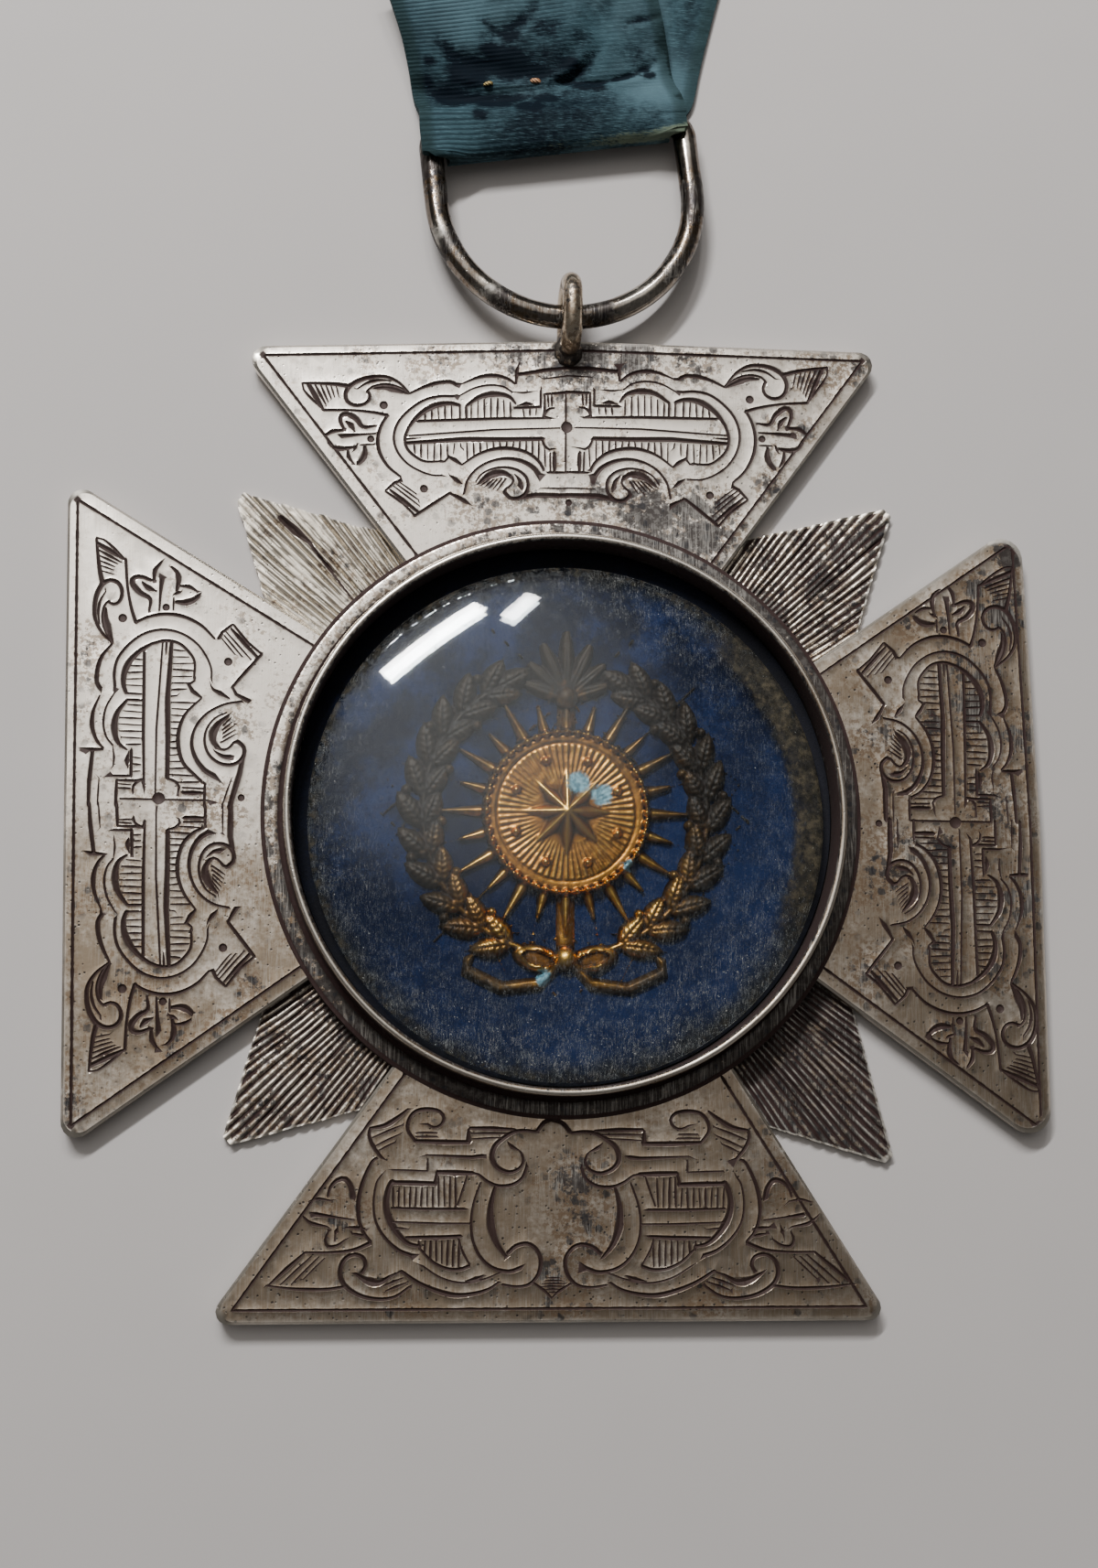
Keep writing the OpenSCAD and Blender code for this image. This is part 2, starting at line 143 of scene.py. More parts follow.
class Paint:
    # a material and the nodes in it
    def __init__(self, name):
        self.material = bpy.data.materials.new(name)
        self.material.use_nodes = True
        self.tree = self.material.node_tree
        self.tree.nodes.clear()

    def add(self, kind, settings=None, sockets=None, output=0):
        node = self.tree.nodes.new("ShaderNode" + kind)
        for name, value in (settings or {}).items():
            setattr(node, name, value)
        for name, value in (sockets or {}).items():
            if isinstance(value, Wire):
                self.tree.links.new(value.socket, node.inputs[name])
            else:
                node.inputs[name].default_value = value
        return Wire(self, node.outputs[output])

    def where(self, stretch=(1, 1, 1), turn=0):
        # place on the object in millimetres, after a turn about Z and a stretch
        place = self.add("TexCoord", output="Object")
        return self.add("Mapping", {"vector_type": "POINT"}, {
            "Vector": place,
            "Rotation": (0, 0, math.radians(turn)),
            "Scale": [s / mm for s in stretch],
        })

    def noise(self, size, detail=3, rough=0.5, place=None, warp=0):
        return self.add("TexNoise", sockets={
            "Vector": place or self.where(),
            "Scale": 1 / size,
            "Detail": detail,
            "Roughness": rough,
            "Distortion": warp,
        })

    def cells(self, size):
        # distance from the nearest of many scattered points
        return self.add("TexVoronoi", sockets={"Vector": self.where(), "Scale": 1 / size}, output="Distance")

    def far(self, place, centre):
        return self.add("VectorMath", {"operation": "DISTANCE"}, {0: place, 1: centre}, 1)

    def towards(self, place, direction):
        return self.add("VectorMath", {"operation": "DOT_PRODUCT"}, {0: place, 1: direction}, 1)

    def step(self, value, low, high):
        # 0 below low and 1 above high, or the other way round if low is the larger
        return self.add("MapRange", {"interpolation_type": "SMOOTHSTEP"}, {
            "Value": value,
            "From Min": low,
            "From Max": high,
        })

    def mark(self, name):
        return self.add("Attribute", {"attribute_name": name}, output="Fac")

    def mix(self, factor, first, second):
        return self.add("Mix", {"data_type": "RGBA"}, {0: factor, 6: first, 7: second}, 2)

    def bump(self, height, depth, strength=1):
        return self.add("Bump", sockets={"Height": height, "Distance": depth * mm, "Strength": strength})

    def surface(self, **values):
        # values are the Principled sockets, with the spaces of their names as underscores
        sockets = {name.replace("_", " "): value for name, value in values.items()}
        return self.add("BsdfPrincipled", sockets=sockets)

    def finish(self, shader):
        self.tree.links.new(shader.socket, self.tree.nodes.new("ShaderNodeOutputMaterial").inputs[0])
        return self.material


def scratches(paint, turn, length, gap, thin):
    # 1 along a few fine parallel scratches, 0 elsewhere
    line = paint.noise(1, 2, 0.6, paint.where((1 / gap, 1 / length, 1), turn), 0.4)
    patch = paint.noise(length * 0.7, 2)
    return paint.step((line - 0.5).math("ABSOLUTE"), thin, 0) * paint.step(patch, 0.45, 0.62)


silverLook = {
    "bright": (1.0, 0.92, 0.82, 1),
    "dull": (0.33, 0.26, 0.19, 1),
    "brown": (0.2, 0.135, 0.085, 1),
    "grey": (0.055, 0.053, 0.057, 1),
    "tarnish": (0.022, 0.021, 0.024, 1),
    "cut": (0.036, 0.017, 0.015, 1),
    "highlightAt": (-25, 45, 0),  # the painted highlight is centred here, and the silver is painted duller and darker further off
    "rubbed": (0.9, 0.85, 0.77, 1),
    "worn": (0.9, 0.85, 0.76, 1),
    "gloss": 0.29,
    "pit": 1.0,  # size of the spots and pits
}


def silverPaint(name, **changes):
    # old silver: bright where rubbed, with a painted highlight at one place and painted shade growing
    # further from it, brown and grey tarnish in specks and patches, dark in every cut
    look = {**silverLook, **changes}
    p = Paint(name)
    patches = p.noise(6.5, 4, 0.62)
    fine = p.noise(0.5, 4, 0.68)
    stainAndShade = p.mark("stainAndShade")
    dirty = p.step(p.noise(3.4, 4, 0.66) + stainAndShade * 0.6, 0.42, 0.74)
    # painted highlight: the colour turns from bright to dull with the distance from the highlight's centre
    awayFromHighlight = p.step(p.far(p.where(), look["highlightAt"]), 22, 66)
    dull = p.step(patches * 0.65 + fine * 0.35 + awayFromHighlight * 0.5 - 0.33, 0.36, 0.7)
    color = p.mix(dull, look["bright"], look["dull"])
    speck = p.step(fine + dirty * 0.13, 0.585, 0.66) * (0.35 + dirty * 0.65)
    color = p.mix(speck * 0.8, color, look["brown"])
    spots = p.step(p.cells(1.4 * look["pit"]) + (fine - 0.5) * 0.9, 0.3, 0.22) * dirty
    color = p.mix(spots * 0.85, color, look["grey"])
    ragged = (p.noise(1.1, 5, 0.75) - 0.5) * 2.2 * p.step(stainAndShade, 0, 0.3)
    # tarnish colour from the mark: real stains on every piece, and painted shadow and shade on the collar's
    # foot and inner wall
    stainedAndShaded = p.step(stainAndShade + ragged, 0.45, 0.64)
    color = p.mix(stainedAndShaded * 0.88, color, look["tarnish"])
    pits = p.step(p.cells(0.62 * look["pit"]) + (fine - 0.5) * 0.25, 0.2, 0.12)
    pits = pits * p.step(patches + dull * 0.12, 0.46, 0.6)
    color = p.mix(pits * 0.85, color, look["tarnish"])
    rub = scratches(p, 12, 9, 0.35, 0.05).math("MAXIMUM", scratches(p, 81, 7, 0.4, 0.04))
    rub = rub.math("MAXIMUM", scratches(p, -38, 11, 0.5, 0.03))
    color = p.mix(rub * 0.22, color, look["rubbed"])
    inCut = p.step(p.mark("cut") + (fine - 0.5) * 0.16, 0.04, 0.26)
    color = p.mix(inCut * 0.97, color, look["cut"])
    edge = p.step(p.mark("edge") + (fine - 0.5) * 0.6, 0.35, 0.95)
    color = p.mix(edge * 0.6, color, look["worn"])
    height = fine * 0.5 + patches * 0.4 - pits * 0.6 - rub * 0.08 - stainedAndShaded * 0.15 - speck * 0.12
    return p.finish(p.surface(
        Base_Color=color,
        Metallic=1 - inCut * 0.6 - stainedAndShaded * 0.3,
        Roughness=look["gloss"] + dull * 0.05 + stainedAndShaded * 0.2 + inCut * 0.35 + speck * 0.1 - rub * 0.04,
        Normal=p.bump(height, 0.03, 0.5),
    ))


# Mesh tools

def wave(x, y, size, seed=0):
    # smooth noise from -1 to 1 at a place in millimetres
    return noise.noise(Vector((x / size, y / size, seed * 7.31)))


def clamp(value, low=0, high=1):
    return min(high, max(low, value))


def newPiece(name, points, faces, material, replaced=(), smooth=40, marks=None, weld=0):
    # points in millimetres; marks are values from 0 to 1, one per point; closer points than weld merge
    mesh = bpy.data.meshes.new(name)
    mesh.from_pydata([tuple(c * mm for c in q) for q in points], [], [tuple(f) for f in faces])
    mesh.validate()
    for key, values in (marks or {}).items():
        layer = mesh.attributes.new(key, "FLOAT", "POINT")
        layer.data.foreach_set("value", np.asarray(values, np.float32))
    work = bmesh.new()
    work.from_mesh(mesh)
    if weld:
        bmesh.ops.remove_doubles(work, verts=work.verts, dist=weld * mm)
    bmesh.ops.recalc_face_normals(work, faces=work.faces)
    work.to_mesh(mesh)
    work.free()
    mesh.materials.append(material)
    mesh.shade_smooth()
    mesh.set_sharp_from_angle(angle=math.radians(smooth))
    piece = bpy.data.objects.new(name, mesh)
    bpy.context.scene.collection.objects.link(piece)
    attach(piece, "root")
    if replaced:
        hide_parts(*replaced)
    return piece


def catmullRom(a, b, c, d, t):
    # place between b and c on the smooth curve through all four
    square = 2 * a - 5 * b + 4 * c - d
    cube = 3 * b - a - 3 * c + d
    return 0.5 * (2 * b + (c - a) * t + square * t * t + cube * t ** 3)


def smoothLine(points, gap):
    # smooth curve through the points, with a point about every gap
    points = [np.array(q, float) for q in points]
    ends = [2 * points[0] - points[1]] + points + [2 * points[-1] - points[-2]]
    line = []
    for a, b, c, d in zip(ends, ends[1:], ends[2:], ends[3:]):
        count = max(1, int(np.linalg.norm(c - b) / gap + 0.5))
        line += [catmullRom(a, b, c, d, i / count) for i in range(count)]
    return np.array(line + [points[-1]])


def straightLine(points, gap):
    line = []
    for b, c in zip(points, points[1:]):
        b = np.array(b, float)
        c = np.array(c, float)
        count = max(1, int(np.linalg.norm(c - b) / gap + 0.5))
        line += [b + (c - b) * i / count for i in range(count)]
    return np.array(line + [np.array(points[-1], float)])


def arc(centre, r, first, step, count):
    # places round a centre, from the first angle on, in degrees
    angles = [math.radians(first + step * i) for i in range(count)]
    return [(centre[0] + r * math.cos(a), centre[1] + r * math.sin(a)) for a in angles]


def turned(x, y, degrees):
    a = math.radians(degrees)
    return x * math.cos(a) - y * math.sin(a), x * math.sin(a) + y * math.cos(a)


def nearSegments(q, a, b):
    # for every place q and segment a to b: share along it, nearest place on it, and the gap
    d = b - a
    t = np.clip(((q[:, None] - a[None]) * d[None]).sum(2) / ((d * d).sum(1) + 1e-12), 0, 1)
    near = a[None] + t[..., None] * d[None]
    return t, near, np.linalg.norm(q[:, None] - near, axis=2)


def lathe(profile, segments, wobble=0):
    # closed ring: profile is a closed list of (radius, height)
    points = []
    for i in range(segments):
        a = 2 * math.pi * i / segments
        for k, (r, z) in enumerate(profile):
            push = 1 + wobble * wave(math.cos(a) * 20, math.sin(a) * 20, 5, k % 3) / r
            points.append((r * push * math.cos(a), r * push * math.sin(a), z))
    n = len(profile)
    faces = []
    for i in range(segments):
        for k in range(n):
            a, b = i * n + k, i * n + (k + 1) % n
            c, d = (i + 1) % segments * n + (k + 1) % n, (i + 1) % segments * n + k
            faces.append((a, d, c, b))
    return points, faces


def tube(line, radii, sides=20, closed=False, flat=None):
    # round wire along a line of 3-D points; flat(i, a) is what is taken off the radius
    line = [Vector(q) for q in line]
    n = len(line)
    normal = Vector((1, 0, 0))
    points = []
    for i, q in enumerate(line):
        before = line[i - 1] if i or closed else q
        after = line[(i + 1) % n] if i < n - 1 or closed else q
        along = (after - before).normalized()
        normal = (normal - along * normal.dot(along)).normalized()
        side = along.cross(normal)
        for k in range(sides):
            a = 2 * math.pi * k / sides
            r = radii[i] - (flat(i, a) if flat else 0)
            points.append(tuple(q + (normal * math.cos(a) + side * math.sin(a)) * r))
    faces = []
    for i in range(n if closed else n - 1):
        for k in range(sides):
            a, b = i * sides + k, i * sides + (k + 1) % sides
            c, d = (i + 1) % n * sides + (k + 1) % sides, (i + 1) % n * sides + k
            faces.append((a, b, c, d))
    if not closed:
        faces.append(tuple(range(sides - 1, -1, -1)))
        faces.append(tuple(range((n - 1) * sides, n * sides)))
    return points, faces


# Engraved arms of the cross

plate = {
    "span": 90,
    "endWidth": 61.2,
    "rootWidth": 33.2,
    "rootY": 25,
    "startR": 26.4,  # under the foot of the collar
    "back": 0.85,
    "top": 2.0,
    "edgeBreak": 0.24,
    "dent": 0.03,
    "gridStep": 1.1,
    "borderSide": 1.3,
    "borderWidth": 0.3,
}
# As in the solid: turn from the top arm, radius of the corners, then what is added to the reach at
# the left corner, in the middle and at the right corner, and to the half width at the end and at
# the root on each side. The border line keeps its own distance from the end.
arms = {
    "arm_top": {"turn": 0, "corner": 1.3, "reach": (-1.8, 0.1, 0.3), "left": (1.5, -0.1),
                "right": (0.0, -0.5), "border": 0.95, "middle": -0.1},
    "arm_left": {"turn": 90, "corner": 1.3, "reach": (-1.0, -0.1, 0.7), "left": (0.6, 0.2),
                 "right": (-1.0, 1.0), "border": 0.9, "middle": 0.55},
    "arm_bottom": {"turn": 180, "corner": 1.1, "reach": (0.2, 0.2, 0.2), "left": (-1.1, 0.1),
                   "right": (0.6, 0.2), "border": 1.2, "middle": 0},
    "arm_right": {"turn": 270, "corner": 2.0, "reach": (-1.3, -0.2, 0.0), "left": (-0.6, -0.7),
                  "right": (0.0, -0.4), "border": 1.0, "middle": 0.05},
}

# Strokes of the strapwork on the right half of an arm: kind of line, widths at its start, middle
# and end, and the places that it passes, across and out from the middle of the cross.
strapwork = [
    ("line", (0.2, 0.3, 0.25), [(0, 42.45), (2, 42.45), (4.95, 42.25)]),
    ("line", (0.08, 0.12, 0.05), [(0, 41.65), (2.4, 41.6)]),
    ("line", (0.3, 0.25, 0.15), [(4.95, 42.6), (5, 41.3)]),
    ("curve", (0.15, 0.32, 0.1), [(5.1, 41.3), (5.8, 41.9), (7, 42.35), (8.5, 42.35), (10.1, 41.8)]),
    ("curve", (0.3, 0.3, 0.15), [(10.7, 41.75), (11.3, 42.1), (12.5, 42.1), (13.8, 41.75), (15, 41.2)]),
    ("curve", (0.12, 0.15, 0.1), [(5.4, 40.5), (6.2, 41.1), (7.5, 41.4), (9, 41.2), (10.3, 40.55)]),
    ("curve", (0.2, 0.18, 0.12), [
        (11, 40.5), (12.3, 40.6), (13.7, 40.3), (15.1, 39.3), (16.1, 38), (16.5, 36.4), (16.2, 34.8),
        (15.3, 33.4), (14.1, 32.5), (12.9, 32), (11.9, 31.95),
    ]),
    ("curve", (0.15, 0.5, 0.2), [
        (5.05, 39.3), (5.6, 40), (6.5, 40.35), (7.6, 40.4), (8.6, 40.15), (9.7, 39.4),
    ]),
    ("curve", (0.25, 0.48, 0.22), [
        (10.4, 39.5), (11.2, 39.75), (12.3, 39.7), (13.4, 39.25), (14.4, 38.4), (15.1, 37.4),
    ]),
    ("curve", (0.22, 0.2, 0.14), [
        (15.1, 37.4), (15.45, 36.2), (15.25, 35), (14.5, 34.1), (13.5, 33.5), (11.9, 33.5),
    ]),
    ("line", (0.15, 0.2, 0.15), [(9.75, 39.4), (9.7, 38)]),
    ("line", (0.12, 0.15, 0.12), [(10.35, 39.5), (10.3, 38.1)]),
    ("line", (0.2, 0.22, 0.2), [(2.6, 38.8), (4.95, 38.85)]),
    ("line", (0.15, 0.18, 0.15), [(2.6, 40.4), (2.6, 38.8)]),
    ("curve", (0.1, 0.35, 0.1), [(3.4, 39.1), (4, 39.2), (4.7, 39.1)]),
    ("curve", (0.08, 0.15, 0.05), [(3.5, 40.4), (4.3, 40.35), (5.3, 40.5)]),
    ("line", (0.12, 0.2, 0.15), [(2.2, 40.05), (2.2, 38.4), (2.3, 37.8), (1.6, 37.6)]),
    ("curve", (0.12, 0.2, 0.15), [(1.2, 38.6), (1.7, 38.55), (2.1, 38.2), (2.3, 37.7)]),
    ("line", (0.2, 0.22, 0.15), [(0, 40.05), (2.2, 40.05)]),
    ("line", (0.1, 0.14, 0.12), [(0.8, 36.6), (7, 36.7), (15.2, 36.4)]),
    ("line", (0.05, 0.14, 0.15), [(14.1, 36.1), (15.3, 36.05)]),
    ("line", (0.15, 0.22, 0.2), [(1.6, 37.62), (7, 37.85), (14.3, 38)]),
    ("line", (0.3, 0.38, 0.25), [(2.5, 35.6), (6, 35.65), (10, 35.8), (15.3, 35.6)]),
    ("curve", (0.12, 0.2, 0.15), [(1.3, 34.6), (1.7, 34.5), (2.2, 34.9), (2.4, 35.4)]),
    ("line", (0.25, 0.32, 0.2), [(1.2, 34.1), (1.2, 32.4)]),
    ("line", (0.12, 0.14, 0.12), [(1.65, 34.2), (1.6, 32.4)]),
    ("line", (0.15, 0.2, 0.15), [(0, 32.25), (1.9, 32.25)]),
    ("curve", (0.2, 0.28, 0.12), [
        (2.3, 32.6), (2.8, 33.4), (3.9, 34.25), (5.4, 34.7), (7, 34.7), (8.6, 34.15), (10.05, 33.1),
    ]),
    ("curve", (0.4, 0.18, 0.15), [
        (2.75, 32.05), (3.3, 32.75), (4.4, 33.4), (5.8, 33.7), (7.3, 33.45), (8.6, 32.7), (9.5, 31.5),
        (9.85, 30),
    ]),
    ("curve", (0.1, 0.2, 0.3), [
        (8.75, 31.3), (8.2, 32.1), (7.2, 32.65), (6, 32.8), (4.8, 32.5), (4, 31.8), (3.8, 30.9),
        (4.1, 30.1), (4.8, 29.65), (5.5, 29.7), (6, 30.2),
    ]),
    ("curve", (0.2, 0.15, 0.2), [(6, 30.2), (5.9, 30.6), (5.5, 30.9), (5.2, 31.4), (5.4, 32)]),
    ("curve", (0.2, 0.65, 0.2), [(5.3, 31.7), (5.9, 32.15), (6.8, 32.2), (7.7, 31.8), (8.4, 31.2)]),
    ("curve", (0.4, 0.25, 0.08), [(4.5, 30.9), (4.6, 31.5), (5.1, 32.1)]),
    ("line", (0.15, 0.32, 0.2), [(10.1, 33.1), (10.7, 33.6), (11.3, 33.95)]),
    ("line", (0.15, 0.15, 0.1), [(11.3, 33.95), (11.7, 33.45), (12, 33.4)]),
    ("line", (0.1, 0.35, 0.1), [(10.1, 31.1), (10.9, 31.75), (11.2, 31.95)]),
    ("line", (0.35, 0.25, 0.15), [(9.85, 29.3), (10.5, 29.7), (11.2, 30.05)]),
    ("line", (0.2, 0.25, 0.2), [(11.2, 30.05), (12.3, 29.2), (14.4, 27.5)]),
    ("line", (0.15, 0.2, 0.15), [(14.4, 27.5), (15.5, 28.8), (17.2, 30.15)]),
    ("line", (0.25, 0.2, 0.15), [(15.8, 31.4), (16.4, 31.1), (17.2, 30.2)]),
    ("line", (0.2, 0.32, 0.15), [(14.15, 27.95), (16.8, 30.35)]),
    ("line", (0.08, 0.14, 0.08), [(14, 28.6), (16.5, 30.8)]),
    ("line", (0.08, 0.14, 0.08), [(14.1, 29.25), (16.2, 31)]),
    ("line", (0.08, 0.12, 0.06), [(14.3, 29.9), (15.9, 31.2)]),
    ("curve", (0.2, 0.26, 0.15), [
        (17.1, 38.9), (17.7, 37.7), (18, 36.2), (17.8, 34.6), (17, 33), (15.8, 31.8),
    ]),
    ("curve", (0.25, 0.18, 0.2), [(17.1, 38.85), (18.5, 39.3), (20.5, 39.7), (23.1, 39.95)]),
    ("curve", (0.35, 0.25, 0.15), [(20.9, 42.65), (22, 43), (23.5, 43.3), (25.1, 43.55)]),
    ("curve", (0.1, 0.2, 0.15), [(25.1, 43.55), (25, 42.7), (24.2, 41.4), (23.1, 40)]),
    ("line", (0.06, 0.12, 0.06), [(22, 42.9), (21.7, 41.4)]),
    ("line", (0.06, 0.14, 0.06), [(22.5, 43), (22.1, 41.4)]),
    ("line", (0.06, 0.16, 0.08), [(23, 43.2), (22.4, 41.2)]),
    ("line", (0.08, 0.18, 0.08), [(23.5, 43.3), (22.7, 40.9)]),
    ("line", (0.1, 0.24, 0.1), [(24, 43.3), (22.9, 40.6)]),
    ("line", (0.3, 0.4, 0.2), [(24.6, 43.4), (23.2, 40.2)]),
    ("curve", (0.15, 0.36, 0.2), [
        (15.1, 41.2), (16.1, 42.5), (17.3, 43.3), (18.6, 43.45), (19.8, 43.2), (20.7, 42.6), (21.1, 41.7),
        (20.9, 40.8), (20.3, 40.3), (19.6, 40.25), (19, 40.6), (18.8, 41.2), (19, 41.8),
    ]),
    ("curve", (0.15, 0.6, 0.15), [(15.15, 41.15), (16.2, 41.65), (17.3, 42.1), (18.4, 42.1)]),
    ("curve", (0.1, 0.2, 0.15), [(15.3, 41.4), (16.3, 42.1), (17.5, 42.45), (18.6, 42.3), (19.1, 41.8)]),
    ("curve", (0.1, 0.22, 0.1), [(16.9, 42.8), (18, 43), (19.1, 42.8), (20, 42.2)]),
    ("line", (0.12, 0.2, 0.36), [(18.3, 36.8), (20, 36.75), (21.4, 36.65)]),
    ("curve", (0.15, 0.46, 0.22), [
        (18.3, 37.7), (19.4, 37.65), (20, 38.6), (20.9, 39.3), (21.45, 39.1), (21.5, 38.4), (21.2, 37.6),
    ]),
    ("curve", (0.12, 0.46, 0.15), [(20.2, 37.2), (20.5, 37.9), (21, 38.4)]),
    ("curve", (0.2, 0.34, 0.2), [(21.3, 37.35), (22.2, 37.3), (22.9, 36.85)]),
    ("curve", (0.15, 0.42, 0.2), [(22.6, 35.9), (22.1, 35.35), (21.3, 35.15), (20.3, 35.3)]),
    ("curve", (0.25, 0.52, 0.34), [(19.2, 35.3), (19.15, 34.5), (19.4, 33.8), (19.8, 33.35)]),
    ("curve", (0.15, 0.3, 0.14), [(20.75, 35), (20.7, 34.2), (20.3, 33.5)]),
    ("line", (0.1, 0.25, 0.1), [(19.9, 35.6), (20.2, 34.9)]),
    ("line", (0.1, 0.14, 0.1), [(18.4, 35.55), (19.6, 35.55)]),
    ("line", (0.34, 0.42, 0.3), [(0, 30), (3, 30), (4.5, 29.75)]),
    ("line", (0.08, 0.12, 0.05), [(0, 30.7), (2.6, 30.7)]),
]
strapworkMiddle = [
    ("line", (0.12, 0.15, 0.12), [(0, 40), (0, 37.2)]),
    ("line", (0.12, 0.15, 0.12), [(0, 36), (0, 32.3)]),
]
strapworkDots = [(17.5, 40.05, 0.42), (13.6, 30.5, 0.4), (18.65, 36.2, 0.36)]
strapworkMiddleDots = [(0.1, 36.6, 0.58), (0.3, 29.3, 0.34)]

